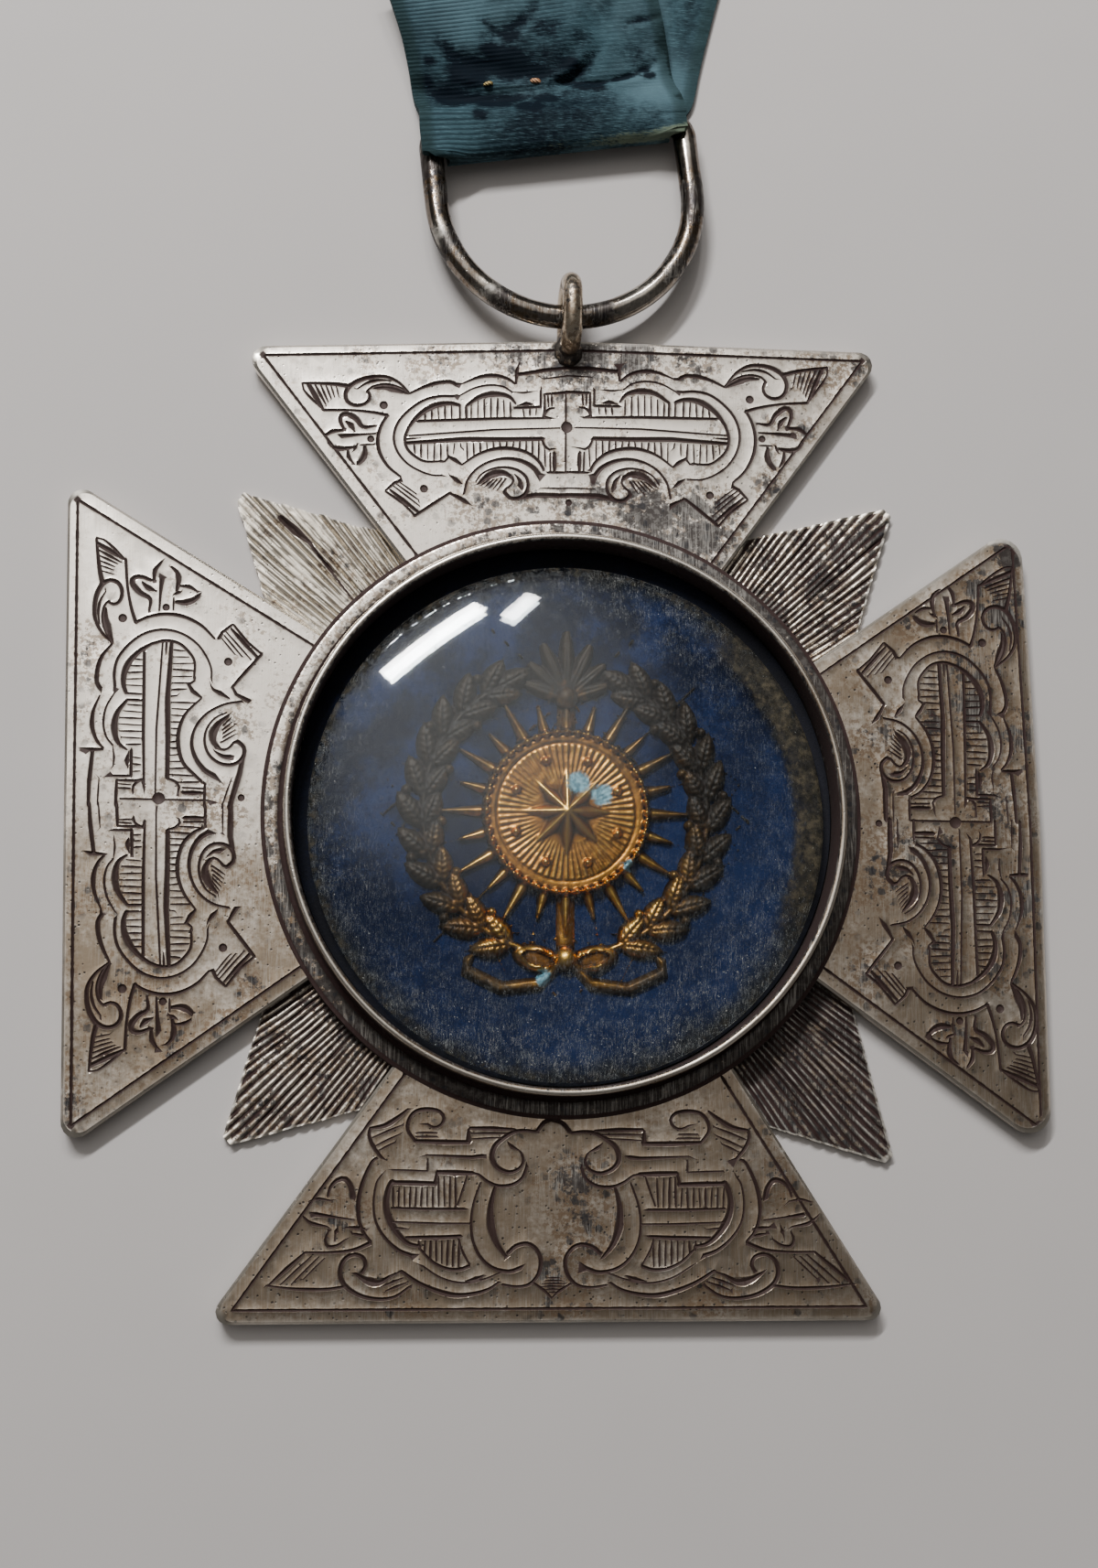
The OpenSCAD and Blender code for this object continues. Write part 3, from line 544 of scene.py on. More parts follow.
# Strokes round the blank shield, on the right half of the bottom arm
shieldwork = [
    ("curve", (0.3, 0.3, 0.2), [(2.3, 28.5), (1.8, 27.85), (1.3, 27.6), (0.7, 27.5)]),
    ("curve", (0.2, 0.6, 0.2), [
        (5.1, 39.5), (5.9, 38.4), (6.4, 37), (6.5, 35.5), (6.3, 34.2), (6.1, 33.5),
    ]),
    ("curve", (0.3, 0.18, 0.12), [
        (3.8, 40.5), (4.8, 40.8), (6.2, 40.5), (7.3, 39.6), (8, 38.2), (8.2, 36.6), (8, 34.9), (7.4, 33.1),
    ]),
    ("curve", (0.3, 0.28, 0.15), [
        (4.9, 39.2), (4.2, 38.6), (3.2, 38.4), (2.4, 38.9), (2, 39.8), (2.2, 41), (3, 41.9), (4.2, 42.1),
        (5.4, 41.9),
    ]),
    ("curve", (0.15, 0.36, 0.2), [
        (5.7, 41.7), (6.6, 42.3), (8, 42.7), (9.6, 42.8), (11.2, 42.4), (12.8, 41.7), (14.3, 40.7),
    ]),
    ("curve", (0.1, 0.4, 0.1), [(7, 41.1), (7.7, 41.45), (8.6, 41.6)]),
    ("curve", (0.1, 0.15, 0.1), [(5.6, 40.9), (7.2, 41.5), (9, 41.75), (10.8, 41.3), (12.4, 40.3)]),
    ("curve", (0.25, 0.22, 0.15), [(8.3, 40.3), (9.2, 40.6), (10.4, 40.5), (11.6, 39.9), (12.6, 38.9)]),
    ("curve", (0.2, 0.28, 0.2), [
        (17, 38.2), (17.7, 37.3), (18.1, 36), (18.1, 34.4), (17.7, 32.8), (17, 31.3), (16.6, 31),
    ]),
    ("curve", (0.3, 0.15, 0.1), [
        (13.4, 39.4), (14.6, 38.9), (15.8, 37.8), (16.6, 36.4), (16.8, 34.8), (16.6, 33.2), (16.2, 32.5),
    ]),
    ("curve", (0.2, 0.5, 0.35), [
        (12.7, 38.6), (13.8, 38.3), (14.8, 37.3), (15.5, 36), (15.7, 34.8), (15.5, 33.6), (15.2, 33),
    ]),
    ("line", (0.25, 0.3, 0.2), [(9.1, 37.75), (11, 37.85), (13.9, 37.85)]),
    ("line", (0.12, 0.16, 0.12), [(8.2, 36.65), (11, 36.65), (14.9, 36.5)]),
    ("line", (0.05, 0.14, 0.12), [(13.7, 37.1), (14.9, 37)]),
    ("line", (0.2, 0.22, 0.15), [(8.8, 35.4), (12, 35.4), (15.2, 35.3)]),
    ("line", (0.3, 0.38, 0.3), [(8.1, 32.3), (11.2, 32.2)]),
    ("line", (0.2, 0.2, 0.2), [(11.25, 32.2), (11.45, 33.15)]),
    ("line", (0.3, 0.36, 0.3), [(11.4, 33.2), (15.2, 33.1)]),
    ("line", (0.1, 0.14, 0.1), [(12.1, 32.1), (15.1, 32)]),
    ("line", (0.1, 0.16, 0.1), [(12.1, 32.1), (12.1, 31.2)]),
    ("line", (0.3, 0.2, 0.1), [(7.3, 30.8), (8.2, 30.9), (12.2, 30.7)]),
    ("curve", (0.1, 0.16, 0.12), [(8.3, 40.2), (9, 38.9), (9.3, 37.9)]),
    ("curve", (0.1, 0.14, 0.1), [(9.4, 35), (8.9, 33.5), (8.6, 32.5)]),
    ("curve", (0.15, 0.34, 0.25), [
        (13.6, 42.1), (14.8, 42.9), (16.2, 43.1), (17.8, 42.8), (19.1, 42), (19.6, 41), (19.4, 39.9),
        (18.6, 39.3), (17.7, 39.5), (17.4, 40.2), (17.7, 40.8),
    ]),
    ("curve", (0.2, 0.6, 0.2), [(15.3, 41.2), (16.2, 41.7), (17.3, 41.5), (18.3, 40.9)]),
    ("line", (0.08, 0.2, 0.08), [(13.8, 41.7), (15.6, 42.4)]),
    ("line", (0.08, 0.2, 0.08), [(14.1, 41.3), (15.9, 42)]),
    ("line", (0.08, 0.2, 0.08), [(14.4, 40.8), (15.9, 41.4)]),
    ("curve", (0.2, 0.25, 0.1), [(19.3, 42.05), (21, 42.25), (23.5, 42.2), (26, 41.9)]),
    ("curve", (0.3, 0.2, 0.15), [(17, 38.3), (18.5, 38.9), (20.5, 39.1), (22.7, 39.1)]),
    ("line", (0.15, 0.3, 0.12), [(22.8, 39.2), (25.7, 41.8)]),
    ("line", (0.08, 0.16, 0.08), [(22.1, 39.4), (24.7, 41.8)]),
    ("line", (0.08, 0.14, 0.08), [(21.5, 39.5), (23.8, 41.8)]),
    ("line", (0.06, 0.12, 0.06), [(21, 39.6), (22.8, 41.4)]),
    ("line", (0.15, 0.3, 0.15), [(17.5, 37.1), (18.9, 36.95)]),
    ("line", (0.15, 0.25, 0.15), [(17.6, 37.7), (18.6, 37.5)]),
    ("line", (0.1, 0.15, 0.32), [(18.5, 36.3), (20, 36.1), (21.8, 35.85)]),
    ("curve", (0.1, 0.25, 0.1), [(19.2, 38), (19.9, 38.5), (20.7, 38.6), (20.95, 38), (20.7, 37.3)]),
    ("line", (0.1, 0.3, 0.1), [(19.9, 37), (20.1, 37.6)]),
    ("curve", (0.12, 0.28, 0.1), [(20.8, 36.9), (22.2, 36.6), (23, 35.95)]),
    ("curve", (0.1, 0.2, 0.1), [(20.6, 34.65), (21.6, 34.5), (22.4, 34.7)]),
    ("curve", (0.4, 0.36, 0.15), [
        (18.6, 34.4), (18.8, 33.5), (19.3, 32.8), (20, 32.9), (20.6, 33.5), (20.8, 34.2),
    ]),
    ("curve", (0.2, 0.25, 0.2), [(16.2, 30.9), (16.9, 30), (17.3, 29), (17.2, 28.4)]),
    ("curve", (0.2, 0.38, 0.15), [(17.2, 28.4), (15.8, 28.1), (14.6, 27.3), (13.9, 26.7)]),
    ("line", (0.08, 0.16, 0.08), [(15, 29.6), (16.4, 30.3)]),
    ("line", (0.08, 0.16, 0.08), [(14.6, 28.9), (16.7, 29.9)]),
    ("line", (0.08, 0.18, 0.08), [(14.4, 28.1), (17, 29.2)]),
    ("curve", (0.15, 0.28, 0.2), [
        (12.2, 28), (11.6, 28.3), (11, 28.1), (10.7, 27.5), (11.1, 26.9), (12.1, 26.7), (13.2, 26.9),
        (13.8, 27.6), (13.9, 28.5), (13.3, 29.4),
    ]),
    ("line", (0.3, 0.36, 0.25), [(8.4, 29.6), (10.5, 29.6), (13.2, 29.5)]),
    ("line", (0.35, 0.3, 0.2), [(8.5, 29.5), (8.5, 28.6)]),
    ("line", (0.1, 0.14, 0.1), [(11.3, 29.1), (13.1, 29.1)]),
    ("line", (0.1, 0.14, 0.1), [(11.4, 28.75), (13, 28.75)]),
    ("line", (0.15, 0.34, 0.2), [(4.4, 28.45), (8.4, 28.35)]),
    ("line", (0.1, 0.16, 0.1), [(5.1, 28.8), (8.3, 28.8)]),
    ("line", (0.08, 0.14, 0.08), [(5.4, 29.15), (8.2, 29.3)]),
    ("curve", (0.15, 0.38, 0.2), [
        (3.8, 30.5), (3.6, 31.2), (4, 31.9), (4.9, 32.2), (5.9, 31.8), (6.4, 31), (6.2, 30), (5.5, 29.3),
        (4.5, 28.7), (3.5, 28.55), (2.5, 28.65),
    ]),
    ("curve", (0.2, 0.26, 0.15), [
        (3.3, 31.7), (3.7, 32.7), (4.6, 33.3), (5.8, 33.4), (6.8, 33), (7.6, 32.4), (8.2, 32.3),
    ]),
    ("curve", (0.1, 0.28, 0.1), [(4, 30.3), (4.6, 30), (5, 29.6)]),
]
shieldworkMiddle = [
    ("line", (0.1, 0.2, 0.15), [(1.0, 43.1), (0.5, 42.6), (-0.6, 41.9)]),
    ("line", (0.1, 0.2, 0.15), [(1.0, 43.1), (1.6, 42.5), (2.6, 41.8)]),
] + [
    ("line", (0.05, 0.14, 0.05), [(0.8 - reach, y), (0.9 + reach, y)])
    for y, reach in ((42.6, 0.3), (42.35, 0.7), (42.1, 1.05), (41.85, 1.0), (41.6, 0.7), (41.35, 0.45))
]

# How each half arm was cut: across scale and shift, outward shift, and droop towards the end
halves = {
    ("arm_top", 1): (1.0, 0.0, 0.0, 0.0),
    ("arm_top", -1): (0.99, -0.15, -0.05, 0.14),
    ("arm_left", 1): (0.965, 0.15, 0.3, 0.0),
    ("arm_left", -1): (0.95, -0.3, 0.2, 0.075),
    ("arm_right", 1): (0.99, 0.05, 0.35, 0.0),
    ("arm_right", -1): (0.98, -0.1, 0.0, 0.03),
    ("arm_bottom", 1): (1.0, 0.0, 0.0, 0.0),
    ("arm_bottom", -1): (1.087, -2.0, 0.1, 0.0),
}
burin = {"depth": 0.42, "deepest": 0.17, "burr": 0.016, "burrWidth": 0.1, "gap": 0.3, "weight": 1.45,
         "least": 0.03}


def insetOutline(arm, inset, endInset=None, cornerR=None):
    # outline of an arm, moved in by inset, from the start circle up the right side and down the left
    half = plate["span"] / 2
    drop = inset if endInset is None else endInset
    radius = arm["corner"] if cornerR is None else cornerR
    middleY = half + arm["reach"][1]
    corners = []
    for name, way, reach in (("right", 1, arm["reach"][2]), ("left", -1, arm["reach"][0])):
        end = plate["endWidth"] / 2 + arm[name][0]
        root = plate["rootWidth"] / 2 + arm[name][1]
        lean = (end - root) / (half - plate["rootY"])
        slope = (half + reach - middleY) / (end + lean * reach)
        foot = root - inset * math.hypot(1, lean) - lean * plate["rootY"]
        top = middleY - drop * math.hypot(1, slope)
        x = (foot + lean * top) / (1 - lean * slope)
        low, high = 15.0, 30.0
        for _ in range(40):  # where the side meets the start circle
            y = (low + high) / 2
            if math.hypot(foot + lean * y, y) < plate["startR"] + inset:
                low = y
            else:
                high = y
        corners.append(((way * (foot + lean * low), low), (way * x, top + slope * x)))
    (rootR, endR), (rootL, endL) = corners
    middle = (0, middleY - drop)
    line = [np.array(rootR)] + roundCorner(rootR, endR, middle, radius) + [np.array(middle)]
    line += roundCorner(middle, endL, rootL, radius) + [np.array(rootL)]
    first = math.atan2(rootL[1], rootL[0])
    last = math.atan2(rootR[1], rootR[0])
    r = plate["startR"] + inset
    turns = [first + (last - first) * i / 24 for i in range(1, 24)]
    return line + [np.array((r * math.cos(a), r * math.sin(a))) for a in turns]


def roundCorner(a, b, c, r, count=8):
    a, b, c = [np.array(q, float) for q in (a, b, c)]
    ba = (a - b) / np.linalg.norm(a - b)
    bc = (c - b) / np.linalg.norm(c - b)
    half = math.acos(float(ba @ bc)) / 2
    if r <= 0.01:
        return [b]
    centre = b + (ba + bc) / np.linalg.norm(ba + bc) * r / math.sin(half)
    p = b + ba * r / math.tan(half) - centre
    q = b + bc * r / math.tan(half) - centre
    start = math.atan2(p[1], p[0])
    turn = (math.atan2(q[1], q[0]) - start + math.pi) % (2 * math.pi) - math.pi
    return [np.array(q) for q in arc(centre, r, math.degrees(start), math.degrees(turn) / count, count + 1)]


def bendStroke(points, arm, side):
    # a half's own scale and droop, then mirrored to its side
    scale, shift, outward, droop = halves[(arm, side)]
    line = np.array(points, float)
    if (arm, side) == ("arm_left", 1):
        # the leaf in the upper corner is narrower here, and the curl beside the collar lies lower
        line[:, 1] -= 0.9 * np.clip((line[:, 1] - 40) / 3.5, 0, 1) * (line[:, 0] > 14)
        line[:, 1] -= 0.8 * np.clip((34.3 - line[:, 1]) / 3, 0, 1) * (abs(line[:, 0] - 6.3) < 3.9)
    x = line[:, 0] * scale + shift * (1 if arm == "arm_bottom" else np.clip(line[:, 0] / 4, 0, 1))
    y = line[:, 1] + outward - droop * line[:, 0] * (line[:, 1] - 28) / 15
    return np.stack([side * x, y], 1)


def hatchStrokes(arm, side):
    # the upright hatching over and under the bars
    strokes = []
    draw = random.Random(f"{arm}{side}")

    def bar(x, low, high, width=0.13):
        if high - low > 0.35:
            lean = draw.uniform(-0.05, 0.05)
            width *= draw.uniform(0.75, 1.35)
            strokes.append(("line", (width * 0.6, width, width * 0.6), [(x + lean, high), (x - lean, low)]))

    if arm == "arm_bottom":
        for i in range(8):
            x = 9.25 + 0.5 * i
            bar(x, 38.1, 40.35 - 0.115 * (x - 9.2) ** 2, 0.15)
        for i in range(12):
            x = 9.6 + 0.5 * i
            bar(x, 32.6 if x < 11.3 else 33.5, 35.15, 0.15)
        return strokes
    for x in (1.5, 1.85):
        bar(x, 38.8, 39.9)
    for i in range(18):
        x = 3.05 + 0.62 * i
        if x < 4.9:
            bar(x, 38.0, 38.7)
        elif 5.2 < x < 9.6:
            bar(x, 38.0, 38.95 + 1.05 * math.sin(math.pi * (x - 4.9) / 4.9))
        elif 10.5 < x < 14.4:
            bar(x, 38.1, 39.55 - 0.15 * (x - 11.4) ** 2)
    for i in range(21):
        x = 2.15 + 0.62 * i
        if x < 10.1:
            bar(x, 34.8 - 0.118 * (x - 6.2) ** 2, 35.4 if x > 2.5 else 34.6)
        else:
            bar(x, 33.6 + 0.24 * (x - 12.6) ** 2, 35.4)
    for i in range(6):
        x = 6 + 0.38 * i
        strokes.append(("line", (0.12, 0.12, 0.05), [(x, 31.5), (x + 0.75, 30.4 + 0.12 * i)]))
    return strokes


def collectStrokes(name, arm):
    # every stroke of an arm as (line of points, widths along it)
    main, middle = (shieldwork, shieldworkMiddle) if name == "arm_bottom" else (strapwork, strapworkMiddle)
    lines = []
    for side in (1, -1):
        for kind, widths, points in main + hatchStrokes(name, side):
            lines.append((kind, widths, bendStroke(points, name, side)))
    for kind, widths, points in middle:
        lines.append((kind, widths, np.array(points, float) + (arm["middle"], 0)))
    ready = []
    for kind, widths, points in lines:
        line = (smoothLine if kind == "curve" else straightLine)(points, burin["gap"])
        t = np.linspace(0, 1, len(line))
        bell = np.interp(t, (0, 0.5, 1), widths) * burin["weight"] + burin["least"]
        ready.append((line, bell))
    border = insetOutline(arm, plate["borderSide"], arm["border"], 0)[:5]
    path = straightLine([tuple(q) for q in border], burin["gap"])
    draw = random.Random(name)
    ready.append((path, np.array([plate["borderWidth"] * draw.uniform(0.85, 1.2) for _ in path])))
    return ready


def armDots(name):
    if name == "arm_bottom":
        return []
    dots = [(x + arms[name]["middle"], y, r) for x, y, r in strapworkMiddleDots]
    for side in (1, -1):
        for x, y, r in strapworkDots:
            q = bendStroke([(x, y)], name, side)[0]
            dots.append((q[0], q[1], r))
    return dots


def engrave(points, strokes, dots):
    # depth of the cut at each point, and how far up its side the point is
    depth = np.zeros(len(points))
    cut = np.zeros(len(points))
    burr = np.zeros(len(points))
    for line, widths in strokes:
        low = line.min(0) - 0.6
        high = line.max(0) + 0.6
        near = np.flatnonzero(((points > low) & (points < high)).all(1))
        if not len(near):
            continue
        t, _, gap = nearSegments(points[near], line[:-1], line[1:])
        half = (widths[:-1] * (1 - t) + widths[1:] * t) / 2
        share = gap / half
        best = share.argmin(1)
        rows = np.arange(len(near))
        share = share[rows, best]
        half = half[rows, best]
        gap = gap[rows, best]
        deep = np.minimum(half * 2 * burin["depth"], burin["deepest"]) * np.clip(1 - share, 0, 1)
        depth[near] = np.maximum(depth[near], deep)
        cut[near] = np.maximum(cut[near], np.clip(1 - share, 0, 1))
        side = np.clip(1 - (gap - half) / burin["burrWidth"], 0, 1) * (share >= 0.98)
        burr[near] = np.maximum(burr[near], side * np.minimum(half * 6, 1))
    for x, y, r in dots:
        share = np.hypot(points[:, 0] - x, points[:, 1] - y) / r
        inside = np.clip(1 - share ** 4, 0, 1)
        depth = np.maximum(depth, 0.16 * inside)
        cut = np.maximum(cut, inside)
    return depth, cut, burr * (cut < 0.02)


def insidePolygon(points, outline):
    inside = np.zeros(len(points), bool)
    x, y = points[:, 0], points[:, 1]
    a = np.array(outline)
    b = np.roll(a, -1, 0)
    for (ax, ay), (bx, by) in zip(a, b):
        crosses = (ay > y) != (by > y)
        with np.errstate(divide="ignore", invalid="ignore"):
            inside ^= crosses & (x < (bx - ax) * (y - ay) / (by - ay) + ax)
    return inside


def dentHeight(x, y, seed):
    return plate["dent"] * (wave(x, y, 9, seed) + 0.5 * wave(x, y, 4, seed + 1))


# Dark tarnish by place on the jewel: across, up, radius, strength
stains = [
    (1, 43.5, 5, 0.9), (6, 43.6, 4, 0.75), (12, 43.4, 3.5, 0.55), (-5, 43.3, 3, 0.6), (-12, 43, 3, 0.4),
    (8, 28, 5, 0.8), (13, 26.5, 4, 0.85), (-8, 28.3, 4, 0.45), (0, 28.6, 3, 0.5), (24, 42.8, 2.5, 0.5),
    (28, 43.5, 2, 0.6), (42, 20, 4, 0.7), (43.5, 8, 4, 0.6), (40, 2, 5, 0.5), (43, -8, 5, 0.55),
    (38, 14, 5, 0.5), (33, 5, 4, 0.4), (43, 26, 3, 0.9), (35, -12, 4, 0.45), (-43, 14, 3, 0.4),
    (-30, -20, 3, 0.4), (2, -37, 4, 0.5), (28, -14, 3, 0.5), (-43.5, -26, 3, 0.5), (0, -44, 5, 0.35),
    (-14, -43.6, 3, 0.35), (-32.5, 0, 4, 0.3), (-31, 8, 3, 0.3), (-31, -9, 3, 0.35), (29.5, 8, 3, 0.5),
    (29.5, -5, 4, 0.5), (38.5, 10.5, 3.2, 0.75), (35.3, -2.6, 2.2, 0.7), (31.2, -2, 2, 0.6),
    (34.7, 9.3, 1.8, 0.7), (38, -5.5, 2, 0.6), (39, 22.6, 2, 0.7), (36.1, 18.9, 1.6, 0.6),
    (32.4, 18.5, 1.5, 0.55), (36, -20, 2.5, 0.5), (40, -14, 2, 0.6), (3, 30.2, 2, 0.75), (-4, 29.6, 2, 0.6),
    (12, 29, 3, 0.9), (23, 37, 1.6, 0.7), (15, 29.5, 2, 0.8), (19, 31.5, 2, 0.7), (-19, 41.8, 2.5, 0.35),
    (-27, 34, 2, 0.3), (-38, -16, 4, 0.4), (-34, -22, 3, 0.45), (-41, -8, 3, 0.35), (-28, -16, 2, 0.5),
    (-20, -36, 3, 0.4), (20, -32, 3, 0.45), (1, -33, 3, 0.7), (-1, -41, 2.5, 0.5), (14, -42.5, 2.5, 0.4),
    (30, -42.5, 3, 0.45),
]


def stainAt(x, y):
    return clamp(max(s * (1.25 - math.hypot(x - sx, y - sy) / r) for sx, sy, r, s in stains))


def makeArm(name, material):
    arm = arms[name]
    seed = arm["turn"] / 90
    strokes = collectStrokes(name, arm)
    dots = armDots(name)
    rim = insetOutline(arm, plate["edgeBreak"])
    rimLine = straightLine([tuple(q) for q in rim] + [tuple(rim[0])], 1.0)[:-1]
    points = [tuple(q) for q in rimLine]
    rimCount = len(points)
    edges = []

    def addRow(row):
        start = len(points)
        points.extend(tuple(q) for q in row)
        edges.extend((start + i, start + i + 1) for i in range(len(row) - 1))

    for line, widths in strokes:
        ahead = np.gradient(line, axis=0)
        ahead /= np.linalg.norm(ahead, axis=1)[:, None] + 1e-9
        across = np.stack([-ahead[:, 1], ahead[:, 0]], 1)
        addRow(line)
        for way in (-1, 1):
            addRow(line + across * (widths / 2 * way)[:, None])
            burr = line + across * ((widths / 2 + burin["burrWidth"]) * way)[:, None]
            points.extend(tuple(q) for q in burr)
    for x, y, r in dots:
        for share in (0.55, 0.85, 1.0):
            addRow(arc((x, y), r * share, 0, 360 / 14, 14))
        points.append((x, y))
    draw = random.Random(name + "grid")
    scatter = []
    for y in np.arange(20, 46, plate["gridStep"]):
        for x in np.arange(-33, 33, plate["gridStep"]):
            scatter.append((x + draw.uniform(-0.3, 0.3), y + draw.uniform(-0.3, 0.3)))
    points += scatter
    flat = np.array(points)
    innerRim = insetOutline(arm, plate["edgeBreak"] + 0.15)
    keep = insidePolygon(flat, innerRim)
    keep[:rimCount] = True
    index = np.cumsum(keep) - 1
    flat = flat[keep]
    edges = [(int(index[a]), int(index[b])) for a, b in edges if keep[a] and keep[b]]
    outline = [list(range(rimCount))]
    verts, _, faces, _, _, _ = delaunay_2d_cdt([Vector(q) for q in flat], edges, outline, 1, 1e-4)
    flat = np.array([tuple(v) for v in verts])
    depth, cut, burr = engrave(flat, strokes, dots)
    nearRim = np.array([not k for k in insidePolygon(flat, innerRim)])
    dents = np.array([dentHeight(x, y, seed) for x, y in flat])
    height = plate["top"] - depth + burin["burr"] * burr + dents
    solid = [(x, y, z) for (x, y), z in zip(flat, height)]
    marks = {"cut": list(cut), "edge": list(nearRim * 0.6)}
    allFaces = [tuple(f) for f in faces]

    # broken edge, sides and plain back
    middle = matchLoop(insetOutline(arm, 0), rimLine)
    sides = [
        (rimLine, None, 0.7),
        (middle, plate["top"] - 0.2, 1),
        (middle, plate["back"] + 0.12, 0.6),
        (rimLine * 0.3 + middle * 0.7, plate["back"], 0.3),
    ]
    loops = []
    for loop, z, edge in sides:
        start = len(solid)
        for x, y in loop:
            solid.append((x, y, plate["top"] + dentHeight(x, y, seed) if z is None else z))
            marks["cut"].append(0)
            marks["edge"].append(edge)
        loops.append(start)
    n = rimCount
    for a, b in zip(loops, loops[1:]):
        allFaces += [(a + i, b + i, b + (i + 1) % n, a + (i + 1) % n) for i in range(n)]
    back = [Vector((solid[loops[-1] + i][0], solid[loops[-1] + i][1])) for i in range(n)]
    backVerts, _, backFaces, _, _, _ = delaunay_2d_cdt(back, [], [list(range(n))], 1, 1e-4)
    start = len(solid)
    for v in backVerts:
        solid.append((v.x, v.y, plate["back"]))
        marks["cut"].append(0)
        marks["edge"].append(0)
    allFaces += [tuple(start + i for i in reversed(f)) for f in backFaces]

    solid = [turned(x, y, arm["turn"]) + (z,) for x, y, z in solid]
    marks["stainAndShade"] = [stainAt(x, y) for x, y, z in solid]
    newPiece(name, solid, allFaces, material, ["cross"], 24, marks, 0.004)


def matchLoop(outline, loop):
    # the nearest place on the outline for each point of the loop
    corners = np.array(outline)
    _, near, gap = nearSegments(loop, corners, np.roll(corners, -1, 0))
    return near[np.arange(len(loop)), gap.argmin(1)]


engravedSilver = silverPaint("engraved_silver")
for armName in arms:
    makeArm(armName, engravedSilver)
print("engraved arms are made")


# Foot, rim and inner wall of the collar

collar = {
    # radius, height, depth of cut, worn edge, tarnish; the full tarnish of the inner wall is tarnish and
    # painted shade inside the collar
    "profile": [
        (24.8, 0.85, 0, 0, 1), (24.8, 3.0, 0.3, 0, 1), (24.8, 4.9, 0.3, 0, 1), (24.81, 5.2, 0.2, 0, 1),
        (24.88, 5.36, 0, 0, 0.8), (24.98, 5.44, 0, 0.3, 0.2), (25.12, 5.5, 0, 1, 0), (25.3, 5.47, 0, 1, 0),
        (25.42, 5.36, 0, 0.7, 0), (25.5, 5.2, 0, 0.1, 0.5), (25.5, 3.6, 0, 0, 0.9), (25.52, 2.4, 0.4, 0, 1),
        (25.62, 2.1, 1, 0, 1), (25.8, 2.04, 1, 0, 1), (25.98, 2.14, 0.5, 0, 0.8),
        (26.1, 2.22, 0, 0.2, 0.35), (26.5, 2.23, 0, 0, 0.3), (27.0, 2.23, 0, 0, 0.3),
        (27.15, 2.21, 0, 0.2, 0.3), (27.23, 2.18, 0.3, 0, 0.4), (27.28, 2.1, 1, 0, 1),
        (27.55, 2.07, 1, 0, 1), (27.6, 1.97, 1, 0, 1), (27.6, 0.85, 0, 0, 0.4),
    ],
    # tarnish of the foot and the painted shadow that the collar's wall casts on it, by the direction from
    # the centre; lightest at the upper left, towards the light
    "dirtAndShade": [
        (-180, 0.5), (-165, 0.6), (-140, 0.8), (-120, 0.95), (-40, 0.95), (-20, 0.95), (0, 0.95),
        (40, 0.85), (58, 0.9), (76, 0.9), (86, 0.6), (100, 0.42), (125, 0.36), (150, 0.34), (180, 0.5),
    ],
    "foot": (25.55, 1.9),  # the foot is further out and higher than this
    "segments": 360,
}


def makeCollar(material):
    profile = collar["profile"]
    points, faces = lathe([(r, z) for r, z, *_ in profile], collar["segments"], 0.06)
    marks = {"cut": [], "edge": [], "stainAndShade": []}
    for k, (x, y, z) in enumerate(points):
        r, _, cut, edge, stainAndShade = profile[k % len(profile)]
        patch = 0.5 + 0.5 * wave(x, y, 5, 4)
        turn = math.degrees(math.atan2(y, x))
        dirtAndShade = np.interp(turn, *zip(*collar["dirtAndShade"])) + 0.12 * wave(x, y, 3, 7)
        # painted shadow and tarnish on the foot, which also dims its worn edge
        if r > collar["foot"][0] and z > collar["foot"][1]:
            stainAndShade = max(stainAndShade, dirtAndShade)
            edge = edge * max(0, 1 - dirtAndShade * 1.2)
        marks["cut"].append(cut * (0.75 + 0.5 * patch))
        marks["edge"].append(edge * (0.5 + 0.7 * patch))
        marks["stainAndShade"].append(stainAndShade)
    newPiece("collar", points, faces, material, ["cross"], 60, marks)


makeCollar(silverPaint("collar_silver", pit=0.7, gloss=0.28))
print("collar is made")


# Bail over the top arm's edge, with the solder at its foot

bail = {
    "x": 0.1,
    "bendY": 47.9,
    "bendZ": 3.325,
    "bendR": 2.325,
    "dropZ": -2.35,
    "dropR": 8,
    "turnAt": (46.4, 3.25),  # middle of the tight curve that leads down to the plate
    "turnR": 2.2,
    "backEnd": 43.2,
    "wireR": (1.0, 0.9, 0.96, 0.98),  # from the back to the foot
    "solder": (0.1, 44.1, 1.35, 1.1),  # place, radius and height of the blob
    "solderSteps": (12, 40),
}


